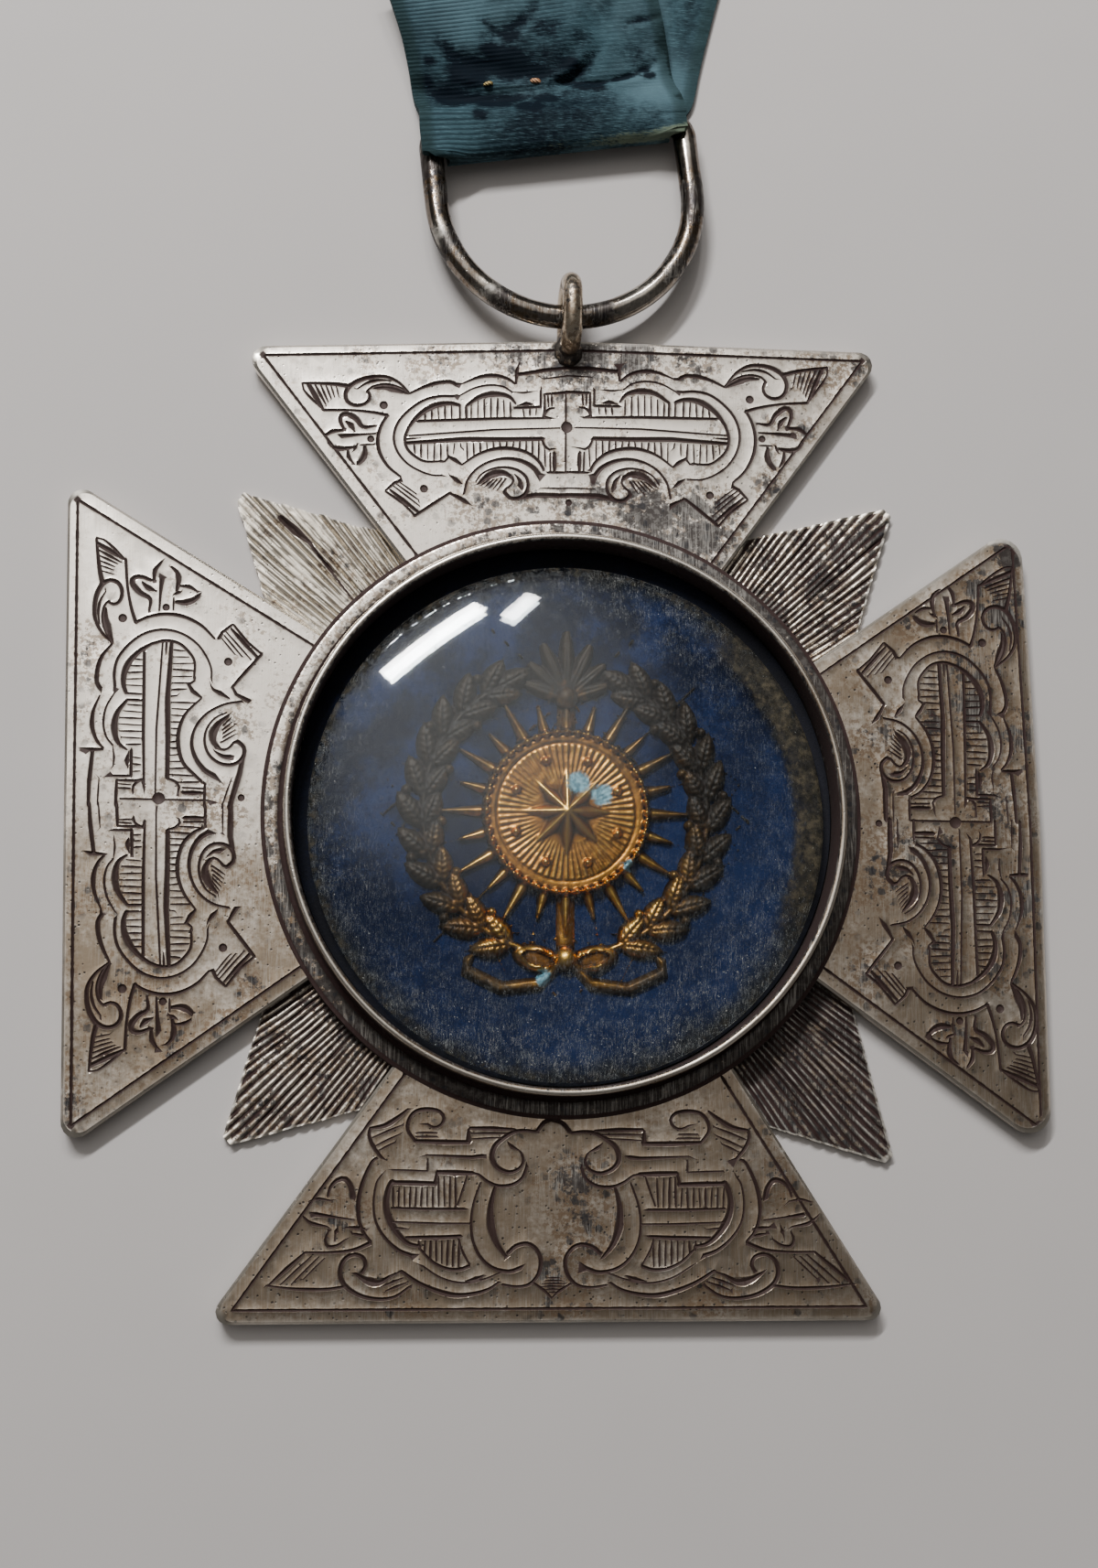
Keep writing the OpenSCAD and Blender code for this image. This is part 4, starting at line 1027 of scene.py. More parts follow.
def makeBail(material):
    # from behind the arm, round the bend, over the ring, and down to the solder in front
    turnY, turnZ = bail["turnAt"]
    path = [(bail["backEnd"] + 0.47 * i, 1.0) for i in range(10)]
    path += arc((bail["bendY"], bail["bendZ"]), bail["bendR"], -90, 7.5, 25)
    path += arc((bail["bendY"], bail["dropZ"]), bail["dropR"], 93, 3, 5)
    path += arc(bail["turnAt"], bail["turnR"], 112.5, 7.5, 10)
    path += [(turnY - bail["turnR"], turnZ - 0.35 * i) for i in range(1, 6)]
    path = [(bail["x"], y, z) for y, z in path]
    radii = np.interp(np.linspace(0, 1, len(path)), (0, 0.45, 0.75, 1), bail["wireR"])
    radii = [r * (1 + 0.02 * wave(i * 0.4, 3, 1, 2)) for i, r in enumerate(radii)]
    points, faces = tube(path, radii, 28)
    stainAndShade = [0.8 if y < 44.6 and z < 3.6 else 0.3 + 0.3 * wave(y, z, 1.5) for x, y, z in points]
    newPiece("bail", points, faces, material, ["cross"], 50, {"stainAndShade": stainAndShade})
    x0, y0, r, h = bail["solder"]
    rows, sides = bail["solderSteps"]
    points, stainAndShade, cut = [], [], []
    for i in range(rows + 1):
        for k in range(sides):
            x, y = turned(1, 0, 360 * k / sides)
            lift = math.radians(90 * i / rows)
            bump = 1 + 0.1 * wave(x * 2, y * 2 + lift, 1, 3) + 0.05 * wave(8 * x, 8 * y, 3, lift)
            out = r * bump * math.cos(lift)
            points.append((x0 + out * x, y0 + 1.15 * out * y, 1.9 + h * bump * math.sin(lift)))
            stainAndShade.append(1.0 if lift < 0.3 else 0.7)
            cut.append(0.5 if lift < 0.12 else 0)
    faces = []
    for i in range(rows):
        for k in range(sides):
            a, b = i * sides + k, i * sides + (k + 1) % sides
            faces.append((a, b, b + sides, a + sides))
    faces.append(tuple(range(sides - 1, -1, -1)))
    newPiece("bail_solder", points, faces, material, ["cross"], 60, {"stainAndShade": stainAndShade, "cut": cut})


makeBail(silverPaint(
    "bail_silver",
    bright=(0.62, 0.52, 0.4, 1),
    dull=(0.34, 0.28, 0.22, 1),
    pit=0.6,
    gloss=0.24,
))
print("bail is made")


# Ray star behind the cross: four ribbed points and a plain middle

rays = {
    "tips": {"ur": (43.8, 43.0), "ul": (136.0, 42.0), "ll": (224.8, 42.0), "lr": (314.0, 43.2)},
    "lean": 1.78,
    "tipWidth": 1.0,
    "fanHalf": 13.65,
    "startR": 26.5,
    # the middle stays a little above the undersides of the points where it overlaps them
    "middle": [
        (0.01, 0.0), (26.45, 0.0), (26.5, 0.04), (28.4, 0.04), (28.5, 0.12), (28.5, 0.45), (28.4, 0.52),
        (0.01, 0.52),
    ],
    "ribs": 26,
    "top": 0.8,
    "groove": 0.3,
    "steps": (7, 54),  # across a rib and along it
    # widths and places of the two gouges in the upper left point
    "gouge": [
        ((0.7, 1.0, 0.3), [(-26.4, 27.2), (-25.0, 26.0), (-23.6, 24.9)]),
        ((0.3, 0.25, 0.1), [(-23.8, 25.0), (-19.7, 19.7)]),
    ],
}
# wear, weight of the grooves, and darkening of each point, which is none at the upper left and most at the
# lower right
rayWear = {"ul": (1.0, 0.35, 0.0), "ur": (0.2, 1.1, 0.5), "ll": (0.25, 1.1, 0.42), "lr": (0.1, 1.4, 0.68)}


def makePoint(name, material):
    turn, reach = rays["tips"][name]
    draw = random.Random("point" + name)
    across, along = rays["steps"]
    columns = rays["ribs"] * across
    lean = rays["lean"]
    worn, grooved, dirty = rayWear[name]
    torn = 1 if name == "ul" else 0.35
    ribEnd = [draw.uniform(-0.22, 0.12) * torn for _ in range(rays["ribs"] + 1)]
    ribDepth = [draw.uniform(0.55, 1.15) for _ in range(rays["ribs"] + 1)]
    points, cut, edge, stainAndShade = [], [], [], []
    for i in range(columns + 1):
        t = 2 * i / columns - 1
        angle = math.radians(rays["fanHalf"] * t)
        phase = i / across
        ridge = abs(math.sin(math.pi * phase)) ** 0.7
        slant = (reach + lean * rays["tipWidth"] / 2) / (1 + lean * math.tan(abs(angle)))
        far = min(reach, slant) / math.cos(angle)
        ragged = ribEnd[min(int(phase), rays["ribs"] - 1)] if ridge > 0.3 else -0.25 * torn
        far += ragged * min(1, (1 - abs(t)) * 8)
        for k in range(along + 1):
            r = rays["startR"] + (far - rays["startR"]) * k / along
            a = math.radians(turn) + angle
            wander = 0.32 * wave(r, t * 30, 7, 5 + turn) * min(1, (1 - abs(t)) * 6)
            bent = phase + wander
            high = abs(math.sin(math.pi * bent)) ** 0.7
            depth = rays["groove"] * ribDepth[clamp(int(bent + 0.5), 0, rays["ribs"])]
            broken = max(0, wave(r, t * 60, 2.6, turn) - 0.12) * 2.2
            flat = worn * max(0, 0.5 + wave(r, t * 22, 5, 9 + turn))
            drop = depth * (1 - high) * (1 - 0.75 * flat) + 0.1 * broken * (1 - high) + 0.06 * flat
            drop += 0.05 * max(0, wave(r * 1.5, t * 90, 1.3, turn + 3))
            x, y = r * math.cos(a), r * math.sin(a)
            points.append((x, y, rays["top"] - drop))
            border = k >= along - 1 or i < 3 or i > columns - 3
            patch = 0.75 + 0.5 * wave(x, y, 1.7, 3 + turn)
            dark = grooved * patch * (1 - high) * (0.6 + 0.9 * broken) * (1 - 0.6 * flat)
            cut.append(0 if border else min(1, dark))
            edge.append(0.75 if border else max(0, high - 0.7) * 2.2 * patch)
            # random tarnish, the point's darkening, and next to the collar dirt with painted shadow of the
            # collar
            stainAndShade.append(clamp(0.5 * wave(x, y, 3.2, 6) + dirty + (0.3 if k < 7 else 0)))
    if name == "ul":
        lines = [(straightLine(q, 0.3), w) for w, q in rays["gouge"]]
        lines = [(q, np.interp(np.linspace(0, 1, len(q)), (0, 0.5, 1), w)) for q, w in lines]
        depth, deep, _ = engrave(np.array([(x, y) for x, y, z in points]), lines, [])
        points = [(x, y, z - 1.6 * d) for (x, y, z), d in zip(points, depth)]
        cut = [max(c, min(1, 1.6 * d)) for c, d in zip(cut, deep)]
        edge = [e * (1 - min(1, 2 * d)) for e, d in zip(edge, deep)]
    n = along + 1
    faces = [(i * n + k, (i + 1) * n + k, (i + 1) * n + k + 1, i * n + k + 1)
             for i in range(columns) for k in range(along)]
    start = len(points)
    for i in range(columns + 1):
        for k in (0, along):
            x, y, z = points[i * n + k]
            points.append((x, y, 0))
            cut.append(0)
            edge.append(0.1)
            stainAndShade.append(0.15)
    for i in range(columns):
        a, b = start + 2 * i, start + 2 * i + 2
        faces.append((a, a + 1, b + 1, b))
        faces.append((i * n + along, (i + 1) * n + along, b + 1, a + 1))
        faces.append((i * n, a, b, (i + 1) * n))
    last = columns * n
    faces.append(tuple(range(0, n)) + (start + 1, start))
    faces.append(tuple(range(last, last + n)) + (start + 2 * columns + 1, start + 2 * columns))
    newPiece("ray_point_" + name, points, faces, material, ["ray_star"], 50,
             {"cut": cut, "edge": edge, "stainAndShade": stainAndShade})


raySilver = silverPaint(
    "ray_silver",
    bright=(0.72, 0.65, 0.54, 1),
    dull=(0.42, 0.37, 0.31, 1),
    pit=0.7,
    gloss=0.36,
)
for rayName in rays["tips"]:
    makePoint(rayName, raySilver)
middlePoints, middleFaces = lathe(rays["middle"], 180)
newPiece("ray_middle", middlePoints, middleFaces, raySilver, ["ray_star"], 40,
         {"stainAndShade": [0.15] * len(middlePoints)}, 0.03)
print("ray star is made")


# Dark blue ground

ground = {"r": 24.65, "back": 0.85, "top": 2.35, "bevel": 0.2, "rings": 70, "segments": 240}


def velvetPaint():
    # dark navy, faded blue in places, with painted light that makes it lighter towards the lower right, and
    # painted shade of the collar's wall together with dirt that makes it black beyond the edge of the glass
    p = Paint("blue_pile")
    place = p.where((1, 1, 0))
    radius = p.far(place, (-0.1, -0.6, 0))
    patches = p.noise(6.5, 5, 0.66)
    fibre = p.noise(0.22, 3, 0.7)
    lighterPatches = p.step(patches + (fibre - 0.5) * 0.3, 0.42, 0.68)
    blue = p.mix(lighterPatches, (0.005, 0.008, 0.024, 1), (0.018, 0.036, 0.112, 1))
    # painted light: lighter blue towards the lower right, where the light falls past the collar's wall
    paintedLight = p.step(p.towards(place, (0.55, -0.83, 0)), -14, 16)
    blue = p.mix(paintedLight * 0.6, blue, (0.014, 0.026, 0.08, 1))
    dust = p.step(p.noise(0.28, 2, 0.5), 0.66, 0.76) * p.step(p.noise(5, 3), 0.42, 0.62) * 0.4
    blue = p.mix(dust, blue, (0.12, 0.15, 0.24, 1))
    # painted shade of the collar's wall together with dirt: black in a ring beyond the edge of the glass, a
    # little less black where the painted light falls
    dirtAndShade = p.step(radius + (p.noise(3, 4) - 0.5) * 4.5, 20.8, 23.6) * 0.9
    shadeAndDirtColor = p.mix(paintedLight, (0.006, 0.006, 0.006, 1), (0.02, 0.019, 0.019, 1))
    color = p.mix(dirtAndShade, blue, shadeAndDirtColor)
    return p.finish(p.surface(
        Base_Color=color,
        Roughness=0.95,
        Sheen_Weight=0.12,
        Sheen_Tint=(0.1, 0.2, 0.5, 1),
        Specular_IOR_Level=0.12,
        Normal=p.bump(fibre * 0.7 + p.noise(0.8, 3) * 0.6, 0.12, 0.8),
    ))


def makeGround(material):
    segments, rings = ground["segments"], ground["rings"]
    points = []
    for i in range(rings + 1):
        r = max(0.01, ground["r"] * i / rings)
        r = min(r, ground["r"] - (ground["bevel"] if i < rings else 0))
        for k in range(segments):
            a = 2 * math.pi * k / segments
            x, y = r * math.cos(a), r * math.sin(a)
            pile = 0.03 - 0.03 * wave(x, y, 3, 1) - 0.015 * wave(x, y, 0.8, 2)
            points.append((x, y, ground["top"] - (ground["bevel"] if i == rings else pile)))
    for r in (ground["r"], 0.01):
        for k in range(segments):
            a = 2 * math.pi * k / segments
            points.append((r * math.cos(a), r * math.sin(a), ground["back"]))
    n = segments
    faces = [(i * n + k, (i + 1) * n + k, (i + 1) * n + (k + 1) % n, i * n + (k + 1) % n)
             for i in range(rings + 2) for k in range(n)]
    newPiece("blue_pile_ground", points, faces, material, ["blue_ground"], 60, None, 0.03)


makeGround(velvetPaint())
print("ground is made")


# Emblem: one cast relief, made as heights over a fine grid

emblem = {
    "z": 2.4,
    "grid": 0.13,
    "reach": (17.2, -17.6, 17.4),  # half width, lowest and highest place
    "bossR": 7.6,
    "bossH": 0.9,
    "bossRim": 0.5,
    "starR": 5.8,
    "starWaist": 2.6,
    "starPeak": 2.1,
    "rays": 24,
    "rayRoot": 6.9,
    "rayLong": 11.2,
    "rayShort": 10,
    "rayH": 0.6,
    "rayW": (1.5, 0.35),
    "beads": 48,
    "beadR": 7.3,
    "knobs": 8,
    "knobR": 5.0,
    "wreathR": 13,
    "leaf": (3.9, 2.1, 0.95),
    "leafLean": 28,
    "pairs": 11,
    "branch": (16, 150),
    "petal": (6.2, 0.75, 1.6, 24, 0.75),  # length, step, width, turn and height
    # place and radius of the green spots
    "greens": [(1.0, 2.7, 1.3), (3.2, 1.6, 1.2), (-2.0, -15.1, 0.9), (5.6, -4.8, 0.7)],
    "tail": [
        (0.2, 0.4), (2.6, -1.9), (5.6, -2.3), (8.4, -1.0), (8.0, 0.4), (9.2, -0.2), (9.4, -1.9),
        (6.0, -3.6), (2.2, -3.2), (-0.2, -0.6),
    ],
}


class Relief:
    # highest of many shapes over a grid; below 0 is outside the casting
    def __init__(self):
        wide, low, high = emblem["reach"]
        grid = emblem["grid"]
        self.x, self.y = np.meshgrid(np.arange(-wide, wide, grid), np.arange(low, high, grid))
        self.height = np.full(self.x.shape, -1.0)

    def put(self, x, y, turn, reach, shape):
        # shape gives the height from places along and across, after the turn
        near = (abs(self.x - x) < reach) & (abs(self.y - y) < reach)
        a = math.radians(turn)
        u = (self.x[near] - x) * math.cos(a) + (self.y[near] - y) * math.sin(a)
        v = -(self.x[near] - x) * math.sin(a) + (self.y[near] - y) * math.cos(a)
        self.height[near] = np.maximum(self.height[near], shape(u, v))

    def outline(self, points, height, bevel, grooves=0):
        # a flat shape with the given outline and a rounded edge
        corners = np.array(points)
        low, high = corners.min(0) - 0.5, corners.max(0) + 0.5
        near = (self.x > low[0]) & (self.x < high[0]) & (self.y > low[1]) & (self.y < high[1])
        q = np.stack([self.x[near], self.y[near]], 1)
        gap = nearSegments(q, corners, np.roll(corners, -1, 0))[2].min(1)
        gap = np.where(insidePolygon(q, points), gap, -gap)
        rise = np.where(gap > 0, height * np.clip(gap / bevel, 0, 1) ** 0.6, gap * 3)
        if grooves:
            rise -= 0.12 * (0.5 + 0.5 * np.cos(gap * grooves)) * (gap > 0)
        self.height[near] = np.maximum(self.height[near], rise)


def roundTop(v, half, height):
    return np.maximum(height * (1 - (v / np.maximum(half, 0.02)) ** 2), -0.6)


def leafShape(length, width, height, veins=7):
    def shape(u, v):
        share = u / length
        half = width / 2 * np.interp(share, (-0.01, 0, 0.12, 0.35, 0.55, 0.72, 0.88, 1, 1.01),
                                     (0, 0.12, 0.62, 1, 0.98, 0.8, 0.45, 0.06, 0))
        back = height * np.interp(share, (0, 0.15, 0.45, 0.8, 1), (0.45, 0.75, 1, 0.85, 0.3))
        rise = np.maximum(back * (1 - (abs(v) / np.maximum(half, 0.02)) ** 2.4), -0.6)
        rib = 0.16 * np.exp(-(v / 0.1) ** 2)
        vein = 0.05 * np.cos(2 * np.pi * veins * (share - 0.35 * abs(v) / width))
        return rise + (vein - rib) * (rise > 0.1)
    return shape


def knobShape(radius, height):
    def shape(u, v):
        share = (u * u + v * v) / (radius * radius)
        return np.where(share < 1, height * np.sqrt(np.clip(1 - share, 0, 1)), -2 * (np.sqrt(share) - 1))
    return shape


def makeEmblem(material):
    relief = Relief()
    boss, rim = emblem["bossR"], emblem["bossRim"]

    def bossShape(u, v):
        r = np.hypot(u, v)
        groove = 0.1 * np.exp(-((r - 6.35) / 0.1) ** 2)
        ribs = 0.05 * np.cos(64 * np.arctan2(v, u)) * (r > 3) * (r < 6.2)
        flat = np.where(r < boss - rim, emblem["bossH"] - groove, -1)
        flat += np.where(r < boss - rim, ribs, 0)
        return np.maximum(flat, roundTop(r - boss + rim / 2, rim / 2 + 0.02, emblem["bossH"] + 0.2))

    def starShape(u, v):
        r = np.hypot(u, v)
        turn = (np.arctan2(u, v) / (math.pi / 4)) % 1
        turn = np.minimum(turn, 1 - turn) * math.pi / 4
        tipX, tipY = emblem["starR"], 0
        waistX = emblem["starWaist"] * math.cos(math.pi / 8)
        waistY = emblem["starWaist"] * math.sin(math.pi / 8)
        nx, ny = waistY - tipY, tipX - waistX
        edge = (nx * tipX + ny * tipY) / (nx * np.cos(turn) + ny * np.sin(turn))
        return 0.45 + (emblem["starPeak"] - 0.45) * (1 - r / edge)

    def rayShape(tip):
        root = emblem["rayRoot"]
        wide, narrow = emblem["rayW"]

        def shape(u, v):
            share = (u - root) / (tip - root)
            half = np.interp(share, (-0.01, 0, 1, 1.02), (0, wide / 2, narrow / 2, 0))
            return np.where(u > root, roundTop(v, half, emblem["rayH"] * (1.15 - 0.3 * share)), -1)
        return shape

    relief.put(0, 0, 0, 8.5, bossShape)
    relief.put(0, 0, 0, 6.2, starShape)
    for i in range(emblem["rays"]):
        tip = emblem["rayShort"] if i % 2 else emblem["rayLong"]
        relief.put(0, 0, i * 360 / emblem["rays"], 12, rayShape(tip))
    for x, y in arc((0, 0), emblem["beadR"], 0, 360 / emblem["beads"], emblem["beads"]):
        relief.put(x, y, 0, 0.8, knobShape(0.42, 1.45))
    gap = 360 / emblem["knobs"]
    for x, y in arc((0, 0), emblem["knobR"], gap / 2, gap, emblem["knobs"]):
        relief.put(x, y, 0, 0.8, knobShape(0.55, 1.35))

    r = emblem["wreathR"]
    length, width, height = emblem["leaf"]
    first, last = emblem["branch"]

    def ringShape(u, v):
        return roundTop(np.hypot(u, v) - r, 0.34, 0.32)

    def stemShape(u, v):
        turn = np.degrees(np.arctan2(np.abs(u), -v))
        return np.where((turn > first) & (turn < last), roundTop(np.hypot(u, v) - r, 0.38, 0.55), -1)

    def barShape(u, v):
        return np.where((abs(v) > boss - rim) & (abs(v) < r), roundTop(u, 0.85, 0.32), -1)

    for shape in (ringShape, stemShape, barShape):
        relief.put(0, 0, 0, 17, shape)
    draw = random.Random(11)
    for side in (1, -1):
        for i in range(emblem["pairs"]):
            a = first + 6 + (last - first - 12) * i / (emblem["pairs"] - 1) - 90
            x, y = turned(r, 0, a)
            for lean, scale in ((-emblem["leafLean"], 1), (emblem["leafLean"], 0.92)):
                turn = a + 90 + lean + draw.uniform(-3, 3)
                grow = scale * draw.uniform(0.95, 1.04)
                if side < 0:
                    turn = 180 - turn
                leaf = leafShape(length * grow + 0.2, width, height * draw.uniform(0.88, 1.05))
                relief.put(side * x, y, turn, 4.6, leaf)
            if i:
                x, y = turned(r + (1.65 if i % 2 == 0 else -1.65), 0, a + 2)
                relief.put(side * x, y, 0, 0.9, knobShape(0.48, 0.85))
        x, y = turned(r, 0, last - 90)
        turn = last if side > 0 else 180 - last
        relief.put(side * x, y, turn, 4.6, leafShape(length, width, height))

        def loopShape(u, v):
            share = np.hypot(u / 2.4, v / 1.25)
            hollow = np.hypot(u / 1.5, v / 0.6)
            rise = np.where(share < 1, 0.85 * (1 - share ** 6), -2 * (share - 1))
            fold = 0.1 * np.cos(9 * np.arctan2(v, u + 1.2))
            return np.where(hollow < 1, 0.42, rise + fold * (rise > 0.2))

        lean = 14 if side > 0 else 166
        relief.put(side * 2.5, -13.3, lean, 3, loopShape)
        relief.outline([(side * x, y - r) for x, y in emblem["tail"]], 0.65, 0.5, 7)

    petalL, step, petalW, petalTurn, petalH = emblem["petal"]
    for i in (-3, 3, -2, 2, -1, 1, 0):
        long = petalL - abs(i) * step

        def petalShape(u, v, long=long, i=i):
            share = np.clip(u / long, 0, 1)
            half = petalW / 2 * np.sin(np.radians(150 * share + 12)) ** 0.7 * (u > 0) * (u < long)
            rise = roundTop(v, half, petalH + 0.1 * (3 - abs(i)) * share)
            return rise - 0.16 * np.exp(-(v / 0.12) ** 2) * (rise > 0.15)

        relief.put(0, 10.6, 90 + i * petalTurn, 7, petalShape)
    relief.put(0, 10.6, 0, 1.6, knobShape(1.1, 1.3))
    relief.put(0, -13.3, 0, 1.6, knobShape(1.15, 1.35))

    height = relief.height
    inside = height > 0
    texture = np.array([[wave(x, y, 0.7, 3) + 0.6 * wave(x, y, 0.33, 5) for x, y in zip(xs, ys)]
                        for xs, ys in zip(relief.x[::2, ::2], relief.y[::2, ::2])])
    texture = np.kron(texture, np.ones((2, 2)))[:height.shape[0], :height.shape[1]]
    blur = height.clip(0)
    for _ in range(4):
        near = [np.roll(blur, way, axis) for axis in (0, 1) for way in (2, -2)]
        blur = (blur + near[0] + near[1] + near[2] + near[3]) / 5
    ridge = np.clip(0.5 + 1.6 * (height.clip(0) - blur), 0, 1)
    cell = inside[:-1, :-1] | inside[1:, :-1] | inside[:-1, 1:] | inside[1:, 1:]
    used = np.zeros(height.shape, bool)
    for dy, dx in ((0, 0), (1, 0), (0, 1), (1, 1)):
        used[dy:dy + cell.shape[0], dx:dx + cell.shape[1]] |= cell
    slopeY, slopeX = np.gradient(height, emblem["grid"])
    steep = slopeX ** 2 + slopeY ** 2 + 1e-6
    reach = emblem["grid"] * 0.9
    moveX = np.where(inside, 0, np.clip(-height * slopeX / steep, -reach, reach))
    moveY = np.where(inside, 0, np.clip(-height * slopeY / steep, -reach, reach))
    z = emblem["z"] + np.where(inside, height + 0.035 * texture * (height > 0.1), -0.03)
    index = -np.ones(height.shape, int)
    index[used] = np.arange(used.sum())
    points = list(zip((relief.x + moveX)[used], (relief.y + moveY)[used], z[used]))
    rows, columns = np.nonzero(cell)
    faces = [(index[i, j], index[i, j + 1], index[i + 1, j + 1], index[i + 1, j])
             for i, j in zip(rows, columns)]
    faces = [tuple(int(k) for k in f) for f in faces]
    newPiece("cast_emblem", points, faces, material, ["emblem"], 75, {"ridge": ridge[used]})


def giltPaint():
    # bright in the middle, brown further out, nearly black on the wreath, with a few green spots
    p = Paint("old_gilt")
    place = p.where((1, 1, 0))
    middle = p.far(p.where((1.05, 0.85, 0)), (0, -3.2, 0))
    mottle = p.noise(2.4, 4, 0.62)
    fine = p.noise(0.45, 3, 0.65)
    ridge = p.mark("ridge")
    gold = p.mix(p.step(ridge, 0.4, 0.72), (0.42, 0.15, 0.02, 1), (1.0, 0.53, 0.11, 1))
    orange = p.step(p.noise(3, 3), 0.47, 0.6)
    gold = p.mix(orange * 0.65, gold, (0.68, 0.26, 0.05, 1))
    brown = p.step(middle + (mottle - 0.5) * 8 + (fine - 0.5) * 3, 7, 10.5)
    gold = p.mix(brown * 0.8, gold, (0.2, 0.085, 0.025, 1))
    dark = p.step(middle + (mottle - 0.5) * 7 + (fine - 0.5) * 3, 9.5, 13.5)
    tarnish = p.mix(p.step(ridge, 0.45, 0.8), (0.006, 0.005, 0.004, 1), (0.036, 0.021, 0.012, 1))
    color = p.mix(dark * 0.95, gold, tarnish)
    hollow = p.step(ridge, 0.47, 0.28)
    color = p.mix(hollow * 0.85, color, (0.03, 0.014, 0.008, 1))
    green = None
    for x, y, r in emblem["greens"]:
        spot = p.step(p.far(place, (x, y, 0)) + (fine - 0.5) * 1.4, r, r * 0.55)
        green = spot if green is None else green.math("MAXIMUM", spot)
    pale = p.mix(p.step(p.noise(0.5, 3), 0.4, 0.65), (0.1, 0.3, 0.38, 1), (0.42, 0.72, 0.8, 1))
    color = p.mix(green * 0.9, color, pale)
    return p.finish(p.surface(
        Base_Color=color,
        Metallic=1 - (dark * 0.5 + brown * 0.1).math("MAXIMUM", green),
        Roughness=0.34 + dark * 0.2 + green * 0.3 + hollow * 0.2,
        Normal=p.bump(fine + mottle * 0.4, 0.05, 0.5),
    ))


makeEmblem(giltPaint())
print("emblem is made")


# Domed watch glass

glass = {
    "at": (0.15, -0.85),  # slid down in the collar
    "r": 23.5,
    "back": 2.4,
    "thick": 1.1,
    "rise": 4,
    "rings": 40,
    "segments": 240,
}


def glassPaint():
    # clear, with dust and fine scratches towards the bottom and a film of old cement on the right
    p = Paint("dusty_glass")
    place = p.where((1, 1, 0))
    radius = p.far(place, (*glass["at"], 0))
    edge = p.step(radius, 14, 23.5)
    low = p.step(p.towards(place, (0.3, -0.95, 0)), 4, 22)
    dirty = edge * 0.45 + low * 0.55
    speck = p.step(p.noise(0.26, 1, 0.5), 0.78 - dirty * 0.05, 0.81 - dirty * 0.04)
    speck = speck * p.step(p.noise(1.7, 2), 0.62 - dirty * 0.35, 0.75 - dirty * 0.35)
    hair = scratches(p, 35, 1.6, 0.2, 0.012).math("MAXIMUM", scratches(p, -50, 1.4, 0.2, 0.012))
    hair = hair.math("MAXIMUM", scratches(p, 100, 2.2, 0.25, 0.01)) * (0.25 + dirty)
    haze = p.step(p.noise(4.5, 4, 0.6), 0.4, 0.8) * dirty * 0.05
    side = p.far(place, (19.5, 3.5, 0))
    uneven = (p.noise(1.6, 4, 0.66) - 0.5) * 2.2
    ring = p.step(radius + uneven, 20.4, 21.2) * p.step(side + uneven * 3, 17, 9)
    ring = ring * (0.25 + 0.5 * p.step(p.noise(0.7, 4, 0.7), 0.4, 0.62))
    rim = p.step(radius + uneven * 0.6, 22.3, 23.3) * p.step(p.noise(1.2, 4, 0.7), 0.46, 0.6)
    film = ring.math("MAXIMUM", rim * 0.4)
    dust = (speck * 0.75).math("MAXIMUM", hair * 0.5).math("MAXIMUM", haze)
    cover = dust.math("MAXIMUM", film)
    # the same from both sides, so that the lower face doesn't mirror like the inside of thick glass
    shine = p.add("LayerWeight", sockets={"Blend": 0.5}, output="Facing").math("POWER", 5) * 0.95 + 0.036
    factor = shine.math("MAXIMUM", cover)
    filmColor = p.mix(p.step(p.noise(0.9, 3), 0.4, 0.65), (0.03, 0.026, 0.02, 1), (0.1, 0.082, 0.05, 1))
    color = p.mix(p.step(film - dust, -0.02, 0.05), (0.5, 0.5, 0.47, 1), filmColor)
    color = p.mix(p.step(cover, 0.01, 0.05), (1, 1, 1, 1), color)
    solid = p.surface(
        Base_Color=color,
        Metallic=1 - p.step(cover, 0.01, 0.05),
        Roughness=0.03 + p.step(cover, 0.01, 0.1) * 0.7,
    )
    clear = p.add("BsdfTransparent", sockets={"Color": (0.88, 0.92, 0.94, 1)})
    return p.finish(p.add("MixShader", sockets={0: factor, 1: clear, 2: solid}))


def makeGlass(material):
    r, rise = glass["r"], glass["rise"]
    ball = (r * r + rise * rise) / (2 * rise)
    centre = glass["back"] + glass["thick"] + rise - ball
    inside = ball - glass["thick"]
    inner = math.sqrt(inside ** 2 - (glass["back"] - centre) ** 2)
    profile = []
    for i in range(glass["rings"] + 1):
        q = max(0.01, r * i / glass["rings"])
        profile.append((q, centre + math.sqrt(ball * ball - q * q)))
    profile[-1] = (r - 0.05, profile[-1][1])
    profile += [(r, profile[-1][1] - 0.08), (r, glass["back"])]
    for i in range(glass["rings"] + 1):
        q = max(0.01, inner * (1 - i / glass["rings"]))
        profile.append((q, centre + math.sqrt(inside * inside - q * q)))
    points, faces = lathe(profile, glass["segments"])
    points = [(x + glass["at"][0], y + glass["at"][1], z) for x, y, z in points]
    newPiece("watch_glass", points, faces, material, ["glass_dome"], 40, None, 0.03)


makeGlass(glassPaint())
print("glass is made")


# Hanging ring

hangingRing = {
    "at": (-0.3, 59.15, 2.42),
    "turn": 6,
    "slope": 4.22,
    "r": 12.3,
    "wire": 1.125,
    "barV": 7.4,
    "cornerR": 1.7,
}


